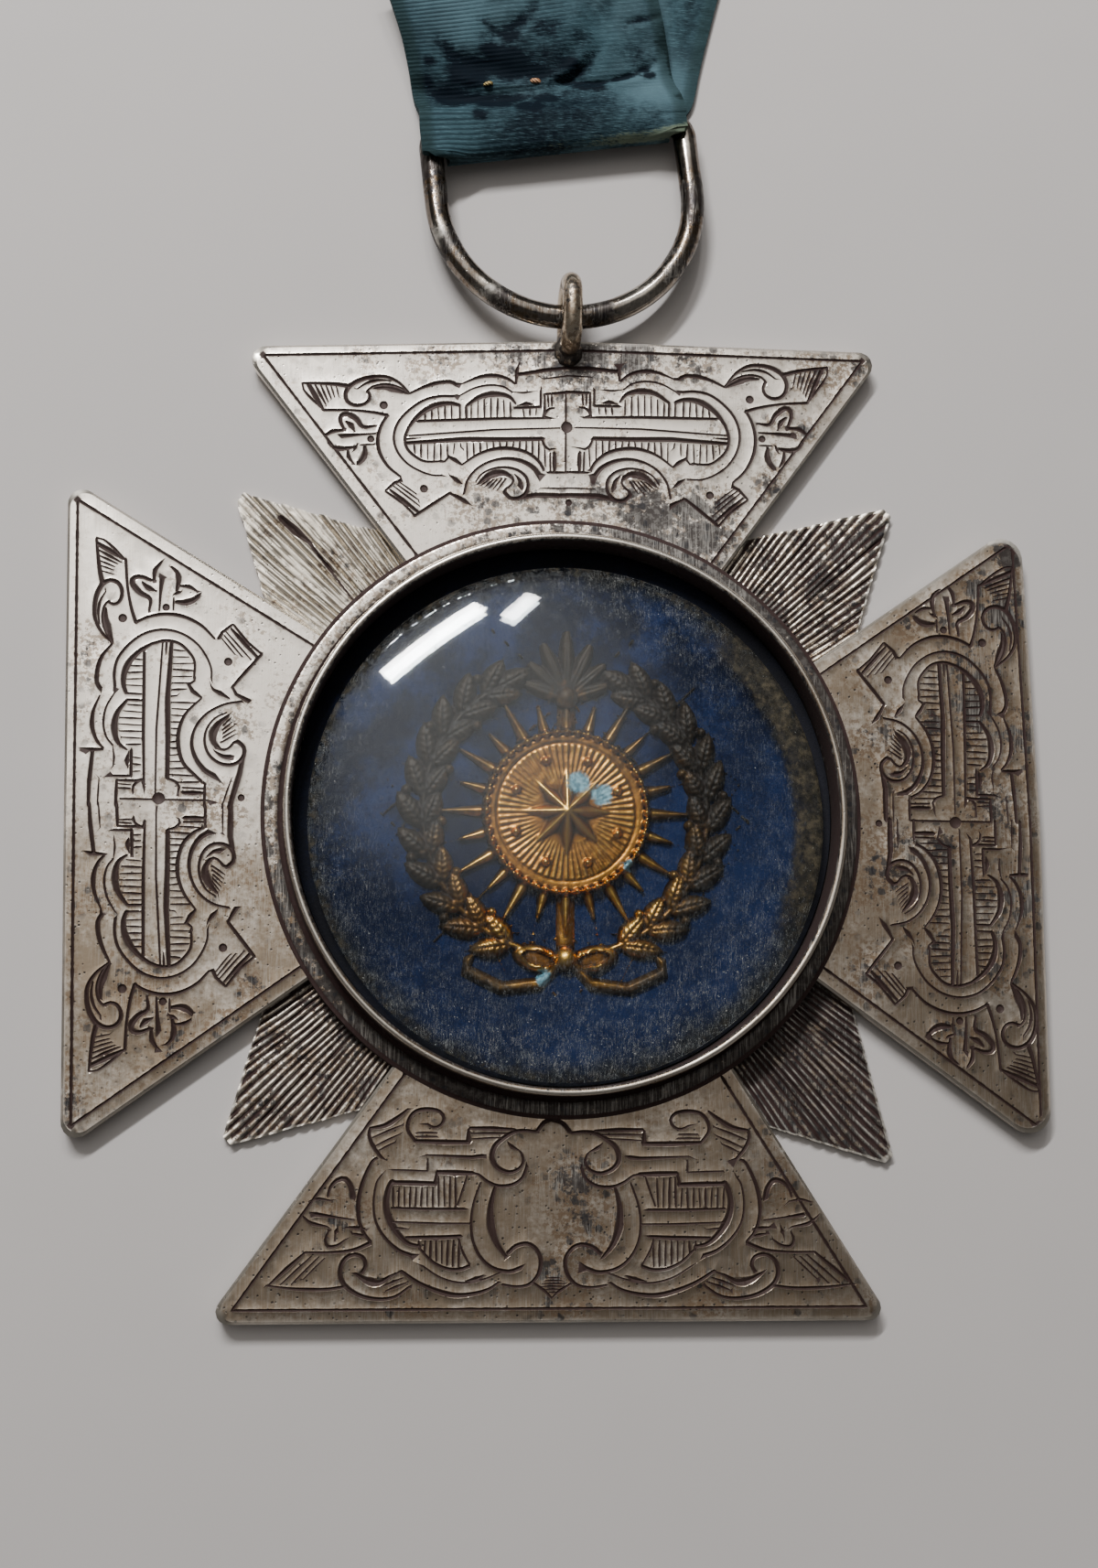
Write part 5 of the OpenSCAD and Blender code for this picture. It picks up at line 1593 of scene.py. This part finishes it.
def makeRing(material):
    r, bar, c = hangingRing["r"], hangingRing["barV"], hangingRing["cornerR"]
    leg = bar - c
    # half a circle, a leg, a corner, the bar in the ribbon, a corner and a leg
    flat = arc((0, 0), r, 180, 2, 91)
    flat += [(r, leg * i / 8) for i in range(1, 8)]
    flat += arc((r - c, leg), c, 0, 9, 11)
    flat += [((r - c) * (1 - 2 * i / 24), bar) for i in range(1, 24)]
    flat += arc((c - r, leg), c, 90, 9, 11)
    flat += [(-r, leg * (1 - i / 8)) for i in range(1, 8)]
    slope = math.radians(hangingRing["slope"])
    x0, y0, z0 = hangingRing["at"]
    path = []
    for u, v in flat:
        x, y = turned(u, v * math.cos(slope), hangingRing["turn"])
        path.append((x0 + x, y0 + y, z0 - v * math.sin(slope)))
    radii = [hangingRing["wire"] * (1 + 0.012 * wave(x, y, 3, 2)) for x, y, z in path]

    def flatSpot(i, a):
        x, y, z = path[i]
        return 0.03 * max(0, wave(x, y, 2.2, 4) * math.cos(a * 2 + x))

    points, faces = tube(path, radii, 36, True, flatSpot)
    marks = {"stainAndShade": [], "edge": []}
    for x, y, z in points:
        marks["stainAndShade"].append(clamp(0.5 + 0.9 * wave(x + z, y, 3.4, 2) + (0.35 if z < 2.2 else 0)))
        marks["edge"].append(max(0, wave(x, y - z, 4, 8)) if z > 3 else 0)
    return newPiece("ring_wire", points, faces, material, ["hanging_ring"], 60, marks)


ringWire = makeRing(silverPaint(
    "ring_silver",
    bright=(0.2, 0.17, 0.145, 1),
    dull=(0.045, 0.037, 0.034, 1),
    brown=(0.11, 0.07, 0.035, 1),
    tarnish=(0.012, 0.009, 0.01, 1),
    pit=0.6,
    gloss=0.15,
))
print("hanging ring is made")


# Ribbon: one strip, folded round the ring's bar

ribbon = {
    "width": 25.4,
    "thick": 0.6,
    "front": [
        (-6.0, 83.6, 11.7, 3.4), (-4.7, 80.0, 10.8, 3.0), (-3.6, 76.8, 9.8, 2.4), (-2.8, 73.6, 8.8, 1.6),
        (-2.4, 71.5, 8.4, 1.05), (-2.1, 70.2, 8.0, 1.15), (-1.7, 68.9, 7.6, 1.9),
    ],
    "back": [(-0.8, 67.6, 7.2, 0.3), (-0.2, 70.5, 0.5, 0.3), (0.4, 74.3, -3.1, 0.3), (1.3, 78.8, -7.2, 0.3),
             (3.0, 86.0, -12.5, 0.3)],
    # angle round the bar, reach to the left and to the right, share of the fold's reach, and how far
    # the cloth lies over the legs of the ring
    "wrap": [
        (115, 13.2, 12.4, -0.42, 1), (90, 13.3, 12.3, 0, 1), (70, 13.3, 12.3, 0.45, 1),
        (52, 13.3, 12.3, 0.8, 1), (38, 13.2, 12.3, 0.95, 1), (27, 12.1, 11.8, 1, 1),
        (15, 10.8, 10.8, 1, 0.5), (-5, 10.8, 10.8, 1, 0), (-30, 10.8, 10.8, 0.87, 0),
        (-52, 10.8, 10.8, 0.62, 0), (-72, 11.3, 11.3, 0.31, 0),
    ],
    "wrapReach": (3, 1.55),
    "overLeg": (8.5, 11, 0.1),  # where the rise over the legs starts and ends, and its spare height
    "wrapR": 1.575,
    "barZ": 1.875,
    "columns": 52,
    "rowGap": 0.1,
    "pitch": 0.4,
    "ribH": 0.035,
    # width, depth or rise, darkness of its painted shade and dirt, and the line of each crease on the front
    "creases": [
        (1.0, -0.45, 0.9, [(-12.4, 74.6), (-11.0, 73.0), (-7.7, 72.5), (-5.4, 72.1), (-3.0, 72.0)]),
        (0.5, 0.3, 0, [(-10.5, 71.4), (-7.7, 70.8), (-4.9, 70.9), (-2.9, 71.2), (-1.6, 71.3)]),
        (0.8, -0.45, 1.0, [
            (-14.0, 70.2), (-12.4, 69.4), (-10.5, 69.3), (-7.7, 69.3), (-5.5, 69.5), (-3.4, 69.7),
        ]),
        (0.55, 0.4, 0, [(-2.4, 70.9), (-0.6, 72.3), (0.8, 73.4), (2.0, 75.3)]),
        (0.5, -0.35, 0.7, [(-1.6, 71.3), (0.4, 72.0), (1.8, 73.2), (3.0, 75.0)]),
        (0.4, -0.35, 0.9, [(-1.6, 71.2), (0.8, 71.6), (3.0, 71.6), (4.6, 72.1), (6.6, 72.9), (8.5, 74.2)]),
        (0.6, 0.3, 0, [(0.4, 70.6), (3.0, 70.8), (5.0, 71.3), (7.2, 72.1), (9.0, 73.4)]),
        (0.45, -0.22, 0.6, [(5.4, 76.6), (5.8, 77.5), (7.5, 78.0), (9.6, 78.7)]),
        (1.5, 0.35, 0, [(1.6, 79.0), (0.8, 77.0), (-0.6, 75.0), (-2.0, 72.9)]),
        (0.9, -0.3, 0.6, [(-8.6, 75.2), (-6.3, 75.9), (-4.4, 77.1), (-3.0, 79.0)]),
        (0.6, -0.25, 0.5, [(-9.0, 76.9), (-7.6, 76.2), (-6.6, 74.4)]),
        (0.35, -0.3, 0.9, [(7.4, 73.6), (7.8, 73.3), (8.1, 72.8)]),
        (0.7, -0.25, 0.4, [(-1.0, 69.9), (1.5, 68.9), (4.5, 68.6)]),
        (0.35, -0.3, 0.9, [(9.4, 79.0), (9.6, 76.4), (10.2, 73.4), (11.6, 70.4)]),
        (0.9, 0, 0.9, [(11.2, 77.6), (11.6, 76.0), (11.4, 74.4)]),
    ],
    # places, radius and darkness of the smudges on the front, which are dirt and painted shadow
    "smudgesAndShadows": [
        (-2, 72.6, 4.4, 0.52), (0, 68, 6, 0.46), (-9.5, 71.9, 2.1, 1.2), (-3, 65.2, 6, 0.42),
        (7, 66.5, 4, 0.3), (-7.3, 74.0, 1.2, 1), (-11.2, 69.4, 2, 1), (-7, 68.6, 1.7, 1.3),
        (-3.8, 67.8, 1.5, 1.1), (-5.7, 72.9, 2.1, 1.3), (-3.2, 72.3, 1.4, 1), (0.1, 73.3, 1, 1.1),
        (1.6, 71.1, 1.1, 1.1), (2.9, 70.8, 0.8, 0.9), (-13.4, 72.6, 0.7, 0.8), (-2.2, 76.4, 1.8, 0.5),
        (10, 75.9, 1.3, 1.1), (7.9, 72.6, 0.6, 1), (11.5, 69.9, 0.9, 1.1), (-14, 70.6, 1, 1.1),
        (-2, 69.2, 1.5, 0.9), (-5.6, 75.4, 1.1, 0.8), (3.4, 68.8, 2.2, 0.42), (6.6, 74.6, 2, 0.36),
        (0.4, 67.6, 1.8, 0.4), (-12.4, 74.3, 1, 0.45), (-8.6, 66.4, 0.8, 0.8), (1, 75.6, 1.6, 0.4),
    ],
    "fades": [(-11.2, 77.5, 6.5), (8.4, 71.5, 7)],  # place and radius of the lighter patches
    # name, place, turn, half length, radius, dark and bright colour
    "stitches": [
        ("yellow_stitch", -7.7, 70.7, 8, 0.4, 0.18, (0.2, 0.13, 0.03, 1), (0.62, 0.48, 0.2, 1)),
        ("orange_stitch", -3.1, 71.3, -12, 0.42, 0.25, (0.24, 0.1, 0.04, 1), (0.62, 0.36, 0.2, 1)),
    ],
}


def ribbonRows():
    # middle of the cloth: rows of points across, from the front end to the back end
    u = np.linspace(-0.5, 0.5, ribbon["columns"] + 1)
    rows = []

    def free(x, y, tilt, z):
        a = math.radians(tilt)
        w = ribbon["width"] * u
        rows.append(np.stack([x + w * math.cos(a), y + w * math.sin(a), np.full(len(u), z)], 1))

    for row in ribbon["front"]:
        free(*row)
    x0, y0, _ = hangingRing["at"]
    first, last = ribbon["wrapReach"]
    start, end, spare = ribbon["overLeg"]
    for angle, left, right, reach, over in ribbon["wrap"]:
        share = u + 0.5
        out = reach * (first + (last - first) * share)
        along = -left + (left + right) * share
        v = hangingRing["barV"] - out
        low = ribbon["barZ"] + ribbon["wrapR"] * math.sin(math.radians(angle))
        high = ribbon["barZ"] + out * math.sin(math.radians(hangingRing["slope"])) + ribbon["wrapR"] + spare
        z = low + over * np.clip((abs(along) - start) / (end - start), 0, 1) * np.maximum(0, high - low)
        x, y = turned(along, v, hangingRing["turn"])
        rows.append(np.stack([x0 + x, y0 + y, z], 1))
    for row in ribbon["back"]:
        free(*row)
    return np.array(rows)


def denseRows(rows):
    # smooth curves through the rows, cut into rows a quarter of a rib apart
    ends = np.concatenate([[2 * rows[0] - rows[1]], rows, [2 * rows[-1] - rows[-2]]])
    line = []
    for a, b, c, d in zip(ends, ends[1:], ends[2:], ends[3:]):
        count = max(1, int(round(np.linalg.norm((c - b)[len(b) // 2]) / ribbon["rowGap"])))
        line += [catmullRom(a, b, c, d, i / count) for i in range(count)]
    return np.array(line + [rows[-1]])


def makeRibbon(material):
    coarse = ribbonRows()
    cloth = denseRows(coarse)
    count, columns = cloth.shape[:2]
    foldStart = int(np.argmax(cloth[:, columns // 2, 1] < 68.9))
    along = np.gradient(cloth, axis=0)
    across = np.gradient(cloth, axis=1)
    normal = np.cross(along, across)
    normal /= np.linalg.norm(normal, axis=2)[..., None]
    middle = cloth[:, columns // 2]
    travel = np.concatenate([[0], np.cumsum(np.linalg.norm(np.diff(middle, axis=0), axis=1))])
    shift = np.zeros((count, columns))
    dark = np.zeros((count, columns))
    front = cloth[:foldStart + 58]
    flat = front[..., :2].reshape(-1, 2)
    # dark gathers painted shade and dirt: along the creases, and in the smudges, which are dirt and painted
    # shadow
    for width, depth, shade, line in ribbon["creases"]:
        line = smoothLine(line, 0.4)
        gap = np.linalg.norm(flat[:, None] - line[None], axis=2)
        best = gap.argmin(1)
        t = best / (len(line) - 1)
        fade = np.sin(np.pi * np.clip(t * 0.9 + 0.05, 0, 1)) ** 0.5
        gap = gap.min(1)
        bell = (np.exp(-(gap / width) ** 2) * fade).reshape(front.shape[:2])
        shift[:len(front)] += depth * bell
        bell = (np.exp(-(gap / (width * 0.8)) ** 2) * fade).reshape(front.shape[:2])
        dark[:len(front)] = np.maximum(dark[:len(front)], shade * bell)
    for x, y, r, shade in ribbon["smudgesAndShadows"]:
        bell = shade * np.exp(-((front[..., 0] - x) ** 2 + 2 * (front[..., 1] - y) ** 2) / (r * r))
        dark[:len(front)] = np.maximum(dark[:len(front)], bell)
    for i in range(count):
        for j in range(columns):
            x, y, z = cloth[i, j]
            shift[i, j] += 0.12 * wave(x, y + travel[i] * 0.3, 3.2, 5) + 0.05 * wave(x, travel[i], 1.1, 6)
    # the cloth may not sink into the wire or into the layer below it
    shift[foldStart + 6:] = np.clip(shift[foldStart + 6:] * 0.2, -0.02, 0.06)
    ribs = ribbon["ribH"] * np.cos(2 * math.pi * travel / ribbon["pitch"])
    shift = np.clip(shift, -0.62, 0.6) + ribs[:, None] * np.linspace(1, 0.35, columns)
    upper = cloth + normal * (ribbon["thick"] / 2 + shift)[..., None]
    upper[..., 2] = np.maximum(upper[..., 2], 0.0)
    lower = cloth - normal * (ribbon["thick"] / 2 - np.clip(shift, -0.1, 0.6) * 0.6)[..., None]
    lower[..., 2] = np.maximum(lower[..., 2], 0.0)
    u = np.linspace(-1, 1, columns)
    selvedge = np.clip((abs(u) - 0.9) / 0.03, 0, 1)
    points = [tuple(q) for q in upper.reshape(-1, 3)] + [tuple(q) for q in lower.reshape(-1, 3)]
    half = count * columns
    faces = []
    for i in range(count - 1):
        for j in range(columns - 1):
            a = i * columns + j
            faces.append((a, a + 1, a + columns + 1, a + columns))
            faces.append((half + a, half + a + columns, half + a + columns + 1, half + a + 1))
    edge = list(range(columns)) + [i * columns + columns - 1 for i in range(1, count)]
    edge += [(count - 1) * columns + j for j in range(columns - 2, -1, -1)]
    edge += [i * columns for i in range(count - 2, 0, -1)]
    faces += [(a, b, b + half, a + half) for a, b in zip(edge, edge[1:] + edge[:1])]
    pale = np.zeros((count, columns))
    ribGapShade = np.zeros((count, columns))
    x0 = hangingRing["at"][0]
    for i in range(count):
        turnShare = math.exp(-((travel[i] - travel[foldStart] - 5.5) / 1.0) ** 2)
        # painted shade in the gaps between the ribs, strongest on the left
        low = 0.5 - 0.5 * math.cos(2 * math.pi * travel[i] / ribbon["pitch"])
        for j in range(columns):
            strong = 0.55 - 0.55 * u[j] + 0.4 * wave(x0 + 12 * u[j], travel[i], 4.5, 8)
            ribGapShade[i, j] = low * clamp(strong, 0.05, 0.9)
            pale[i, j] = turnShare * clamp(0.3 + 0.75 * u[j] + 0.4 * wave(j, i * 0.1, 7, 3))
    marks = {
        "creaseShadeAndDirt": list(dark.reshape(-1)) * 2,
        "pale": list(pale.reshape(-1)) * 2,
        "rib": list(ribGapShade.reshape(-1)) * 2,
        "selvedge": list(np.tile(selvedge, count)) * 2,
    }
    piece = newPiece("folded_ribbon", points, faces, material, ["ribbon"], 60, marks)
    return upper


def silkPaint():
    # faded teal with painted shade in the fine gaps between the ribs, painted shade and dirt blackening the
    # creases and smudges, painted sheen in large patches and along the threads, pale where it folds
    p = Paint("teal_silk")
    patches = p.noise(4.5, 4, 0.62)
    thread = p.noise(1, 3, 0.6, p.where((1.3, 14, 4), 8))
    fine = p.noise(0.9, 4, 0.7)
    light = p.step(patches + (fine - 0.5) * 0.4, 0.32, 0.72)
    color = p.mix(light, (0.009, 0.019, 0.025, 1), (0.044, 0.088, 0.107, 1))
    # painted sheen in large lighter patches
    lighterPatches = p.step(p.noise(6, 3, 0.5, p.where((1, 0.7, 1), 35)), 0.5, 0.68)
    color = p.mix(lighterPatches * 0.5, color, (0.08, 0.14, 0.165, 1))
    for x, y, r in ribbon["fades"]:
        near = p.step(p.far(p.where((1, 1, 0)), (x, y, 0)) + (fine - 0.5) * 2.5, r, 0)
        color = p.mix(near * 0.65, color, (0.11, 0.19, 0.225, 1))
    # painted sheen: lighter streaks along the threads
    color = p.mix(p.step(thread, 0.5, 0.75) * 0.65, color, (0.1, 0.18, 0.21, 1))
    # painted shade darkens the gaps between the ribs
    ribShade = p.step(p.mark("rib") + (fine - 0.5) * 0.4, 0.3, 0.8)
    color = p.mix(ribShade * 0.64, color, (0.004, 0.011, 0.017, 1))
    creaseShadeAndDirt = p.mark("creaseShadeAndDirt")
    # painted shade and dirt: near black in the creases and smudges
    worn = creaseShadeAndDirt + ((fine - 0.5) * 0.9 - (thread - 0.5) * 0.7) * p.step(creaseShadeAndDirt, 0, 0.25)
    color = p.mix(p.step(worn, 0.06, 0.6) * 0.96, color, (0.002, 0.005, 0.01, 1))
    glint = p.step(thread, 0.62, 0.72) * p.step(p.noise(2.2, 3), 0.5, 0.6) * p.step(creaseShadeAndDirt, 0.15, 0.5)
    color = p.mix(glint * 0.7, color, (0.06, 0.12, 0.16, 1))
    edge = p.mark("selvedge")
    color = p.mix(edge * 0.65, color, (0.014, 0.03, 0.03, 1))
    rub = p.step(p.mark("pale") + (p.noise(0.6, 4, 0.7, p.where((1, 6, 2), 6)) - 0.5) * 1.3, 0.35, 0.75)
    color = p.mix(rub * 0.8, color, (0.15, 0.185, 0.13, 1))
    scuff = p.step(p.noise(0.35, 3, 0.6), 0.64, 0.74) * p.step(p.noise(4, 3), 0.46, 0.6)
    color = p.mix(scuff * 0.6, color, (0.005, 0.015, 0.02, 1))
    return p.finish(p.surface(
        Base_Color=color,
        Roughness=0.7 + rub * 0.2,
        Sheen_Weight=0.02,
        Sheen_Tint=(0.5, 0.8, 0.85, 1),
        Specular_IOR_Level=0.07,
        Normal=p.bump(thread * 0.8 + p.noise(0.3, 3) * 0.4, 0.06, 0.6),
    ))


def threadPaint(name, dark, bright):
    p = Paint(name)
    twist = p.add("TexWave", {"bands_direction": "DIAGONAL"}, {
        "Vector": p.where(),
        "Scale": 1.6,
        "Distortion": 1,
    })
    color = p.mix(twist, dark, bright)
    return p.finish(p.surface(Base_Color=color, Roughness=0.7, Normal=p.bump(twist, 0.05)))


def makeStitches(surface):
    places = surface.reshape(-1, 3)
    near = places[places[:, 2] > 0.8]
    for name, x, y, turn, half, r, dark, bright in ribbon["stitches"]:
        z = near[np.linalg.norm(near[:, :2] - (x, y), axis=1).argmin(), 2]
        path = []
        radii = []
        for i in range(9):
            t = i / 4 - 1
            along, across = turned(half * t, 0, turn)
            path.append((x + along, y + across + 0.04 * math.sin(3 * t), z + 0.1 - 0.28 * t ** 4))
            radii.append(r * (1 - 0.35 * t ** 4))
        points, faces = tube(path, radii, 14)
        newPiece(name, points, faces, threadPaint(name + "_thread", dark, bright), (), 60)


ribbonSurface = makeRibbon(silkPaint())
makeStitches(ribbonSurface)
print("ribbon is made")


# Floor

def makeFloor():
    p = Paint("pale_floor")
    grain = p.noise(14, 3, 0.5)
    light = studio["floorColor"]
    color = p.mix(grain, light, tuple(0.95 * c for c in light[:3]) + (1,))
    material = p.finish(p.surface(Base_Color=color, Roughness=0.9, Specular_IOR_Level=0.1))
    half = studio["floorSize"] / 2 * mm
    mesh = bpy.data.meshes.new("floor")
    corners = [(-half, -half, 0), (half, -half, 0), (half, half, 0), (-half, half, 0)]
    mesh.from_pydata(corners, [], [(0, 1, 2, 3)])
    mesh.materials.append(material)
    floor = bpy.data.objects.new("floor", mesh)
    bpy.context.scene.collection.objects.link(floor)


makeFloor()
print("floor is laid")
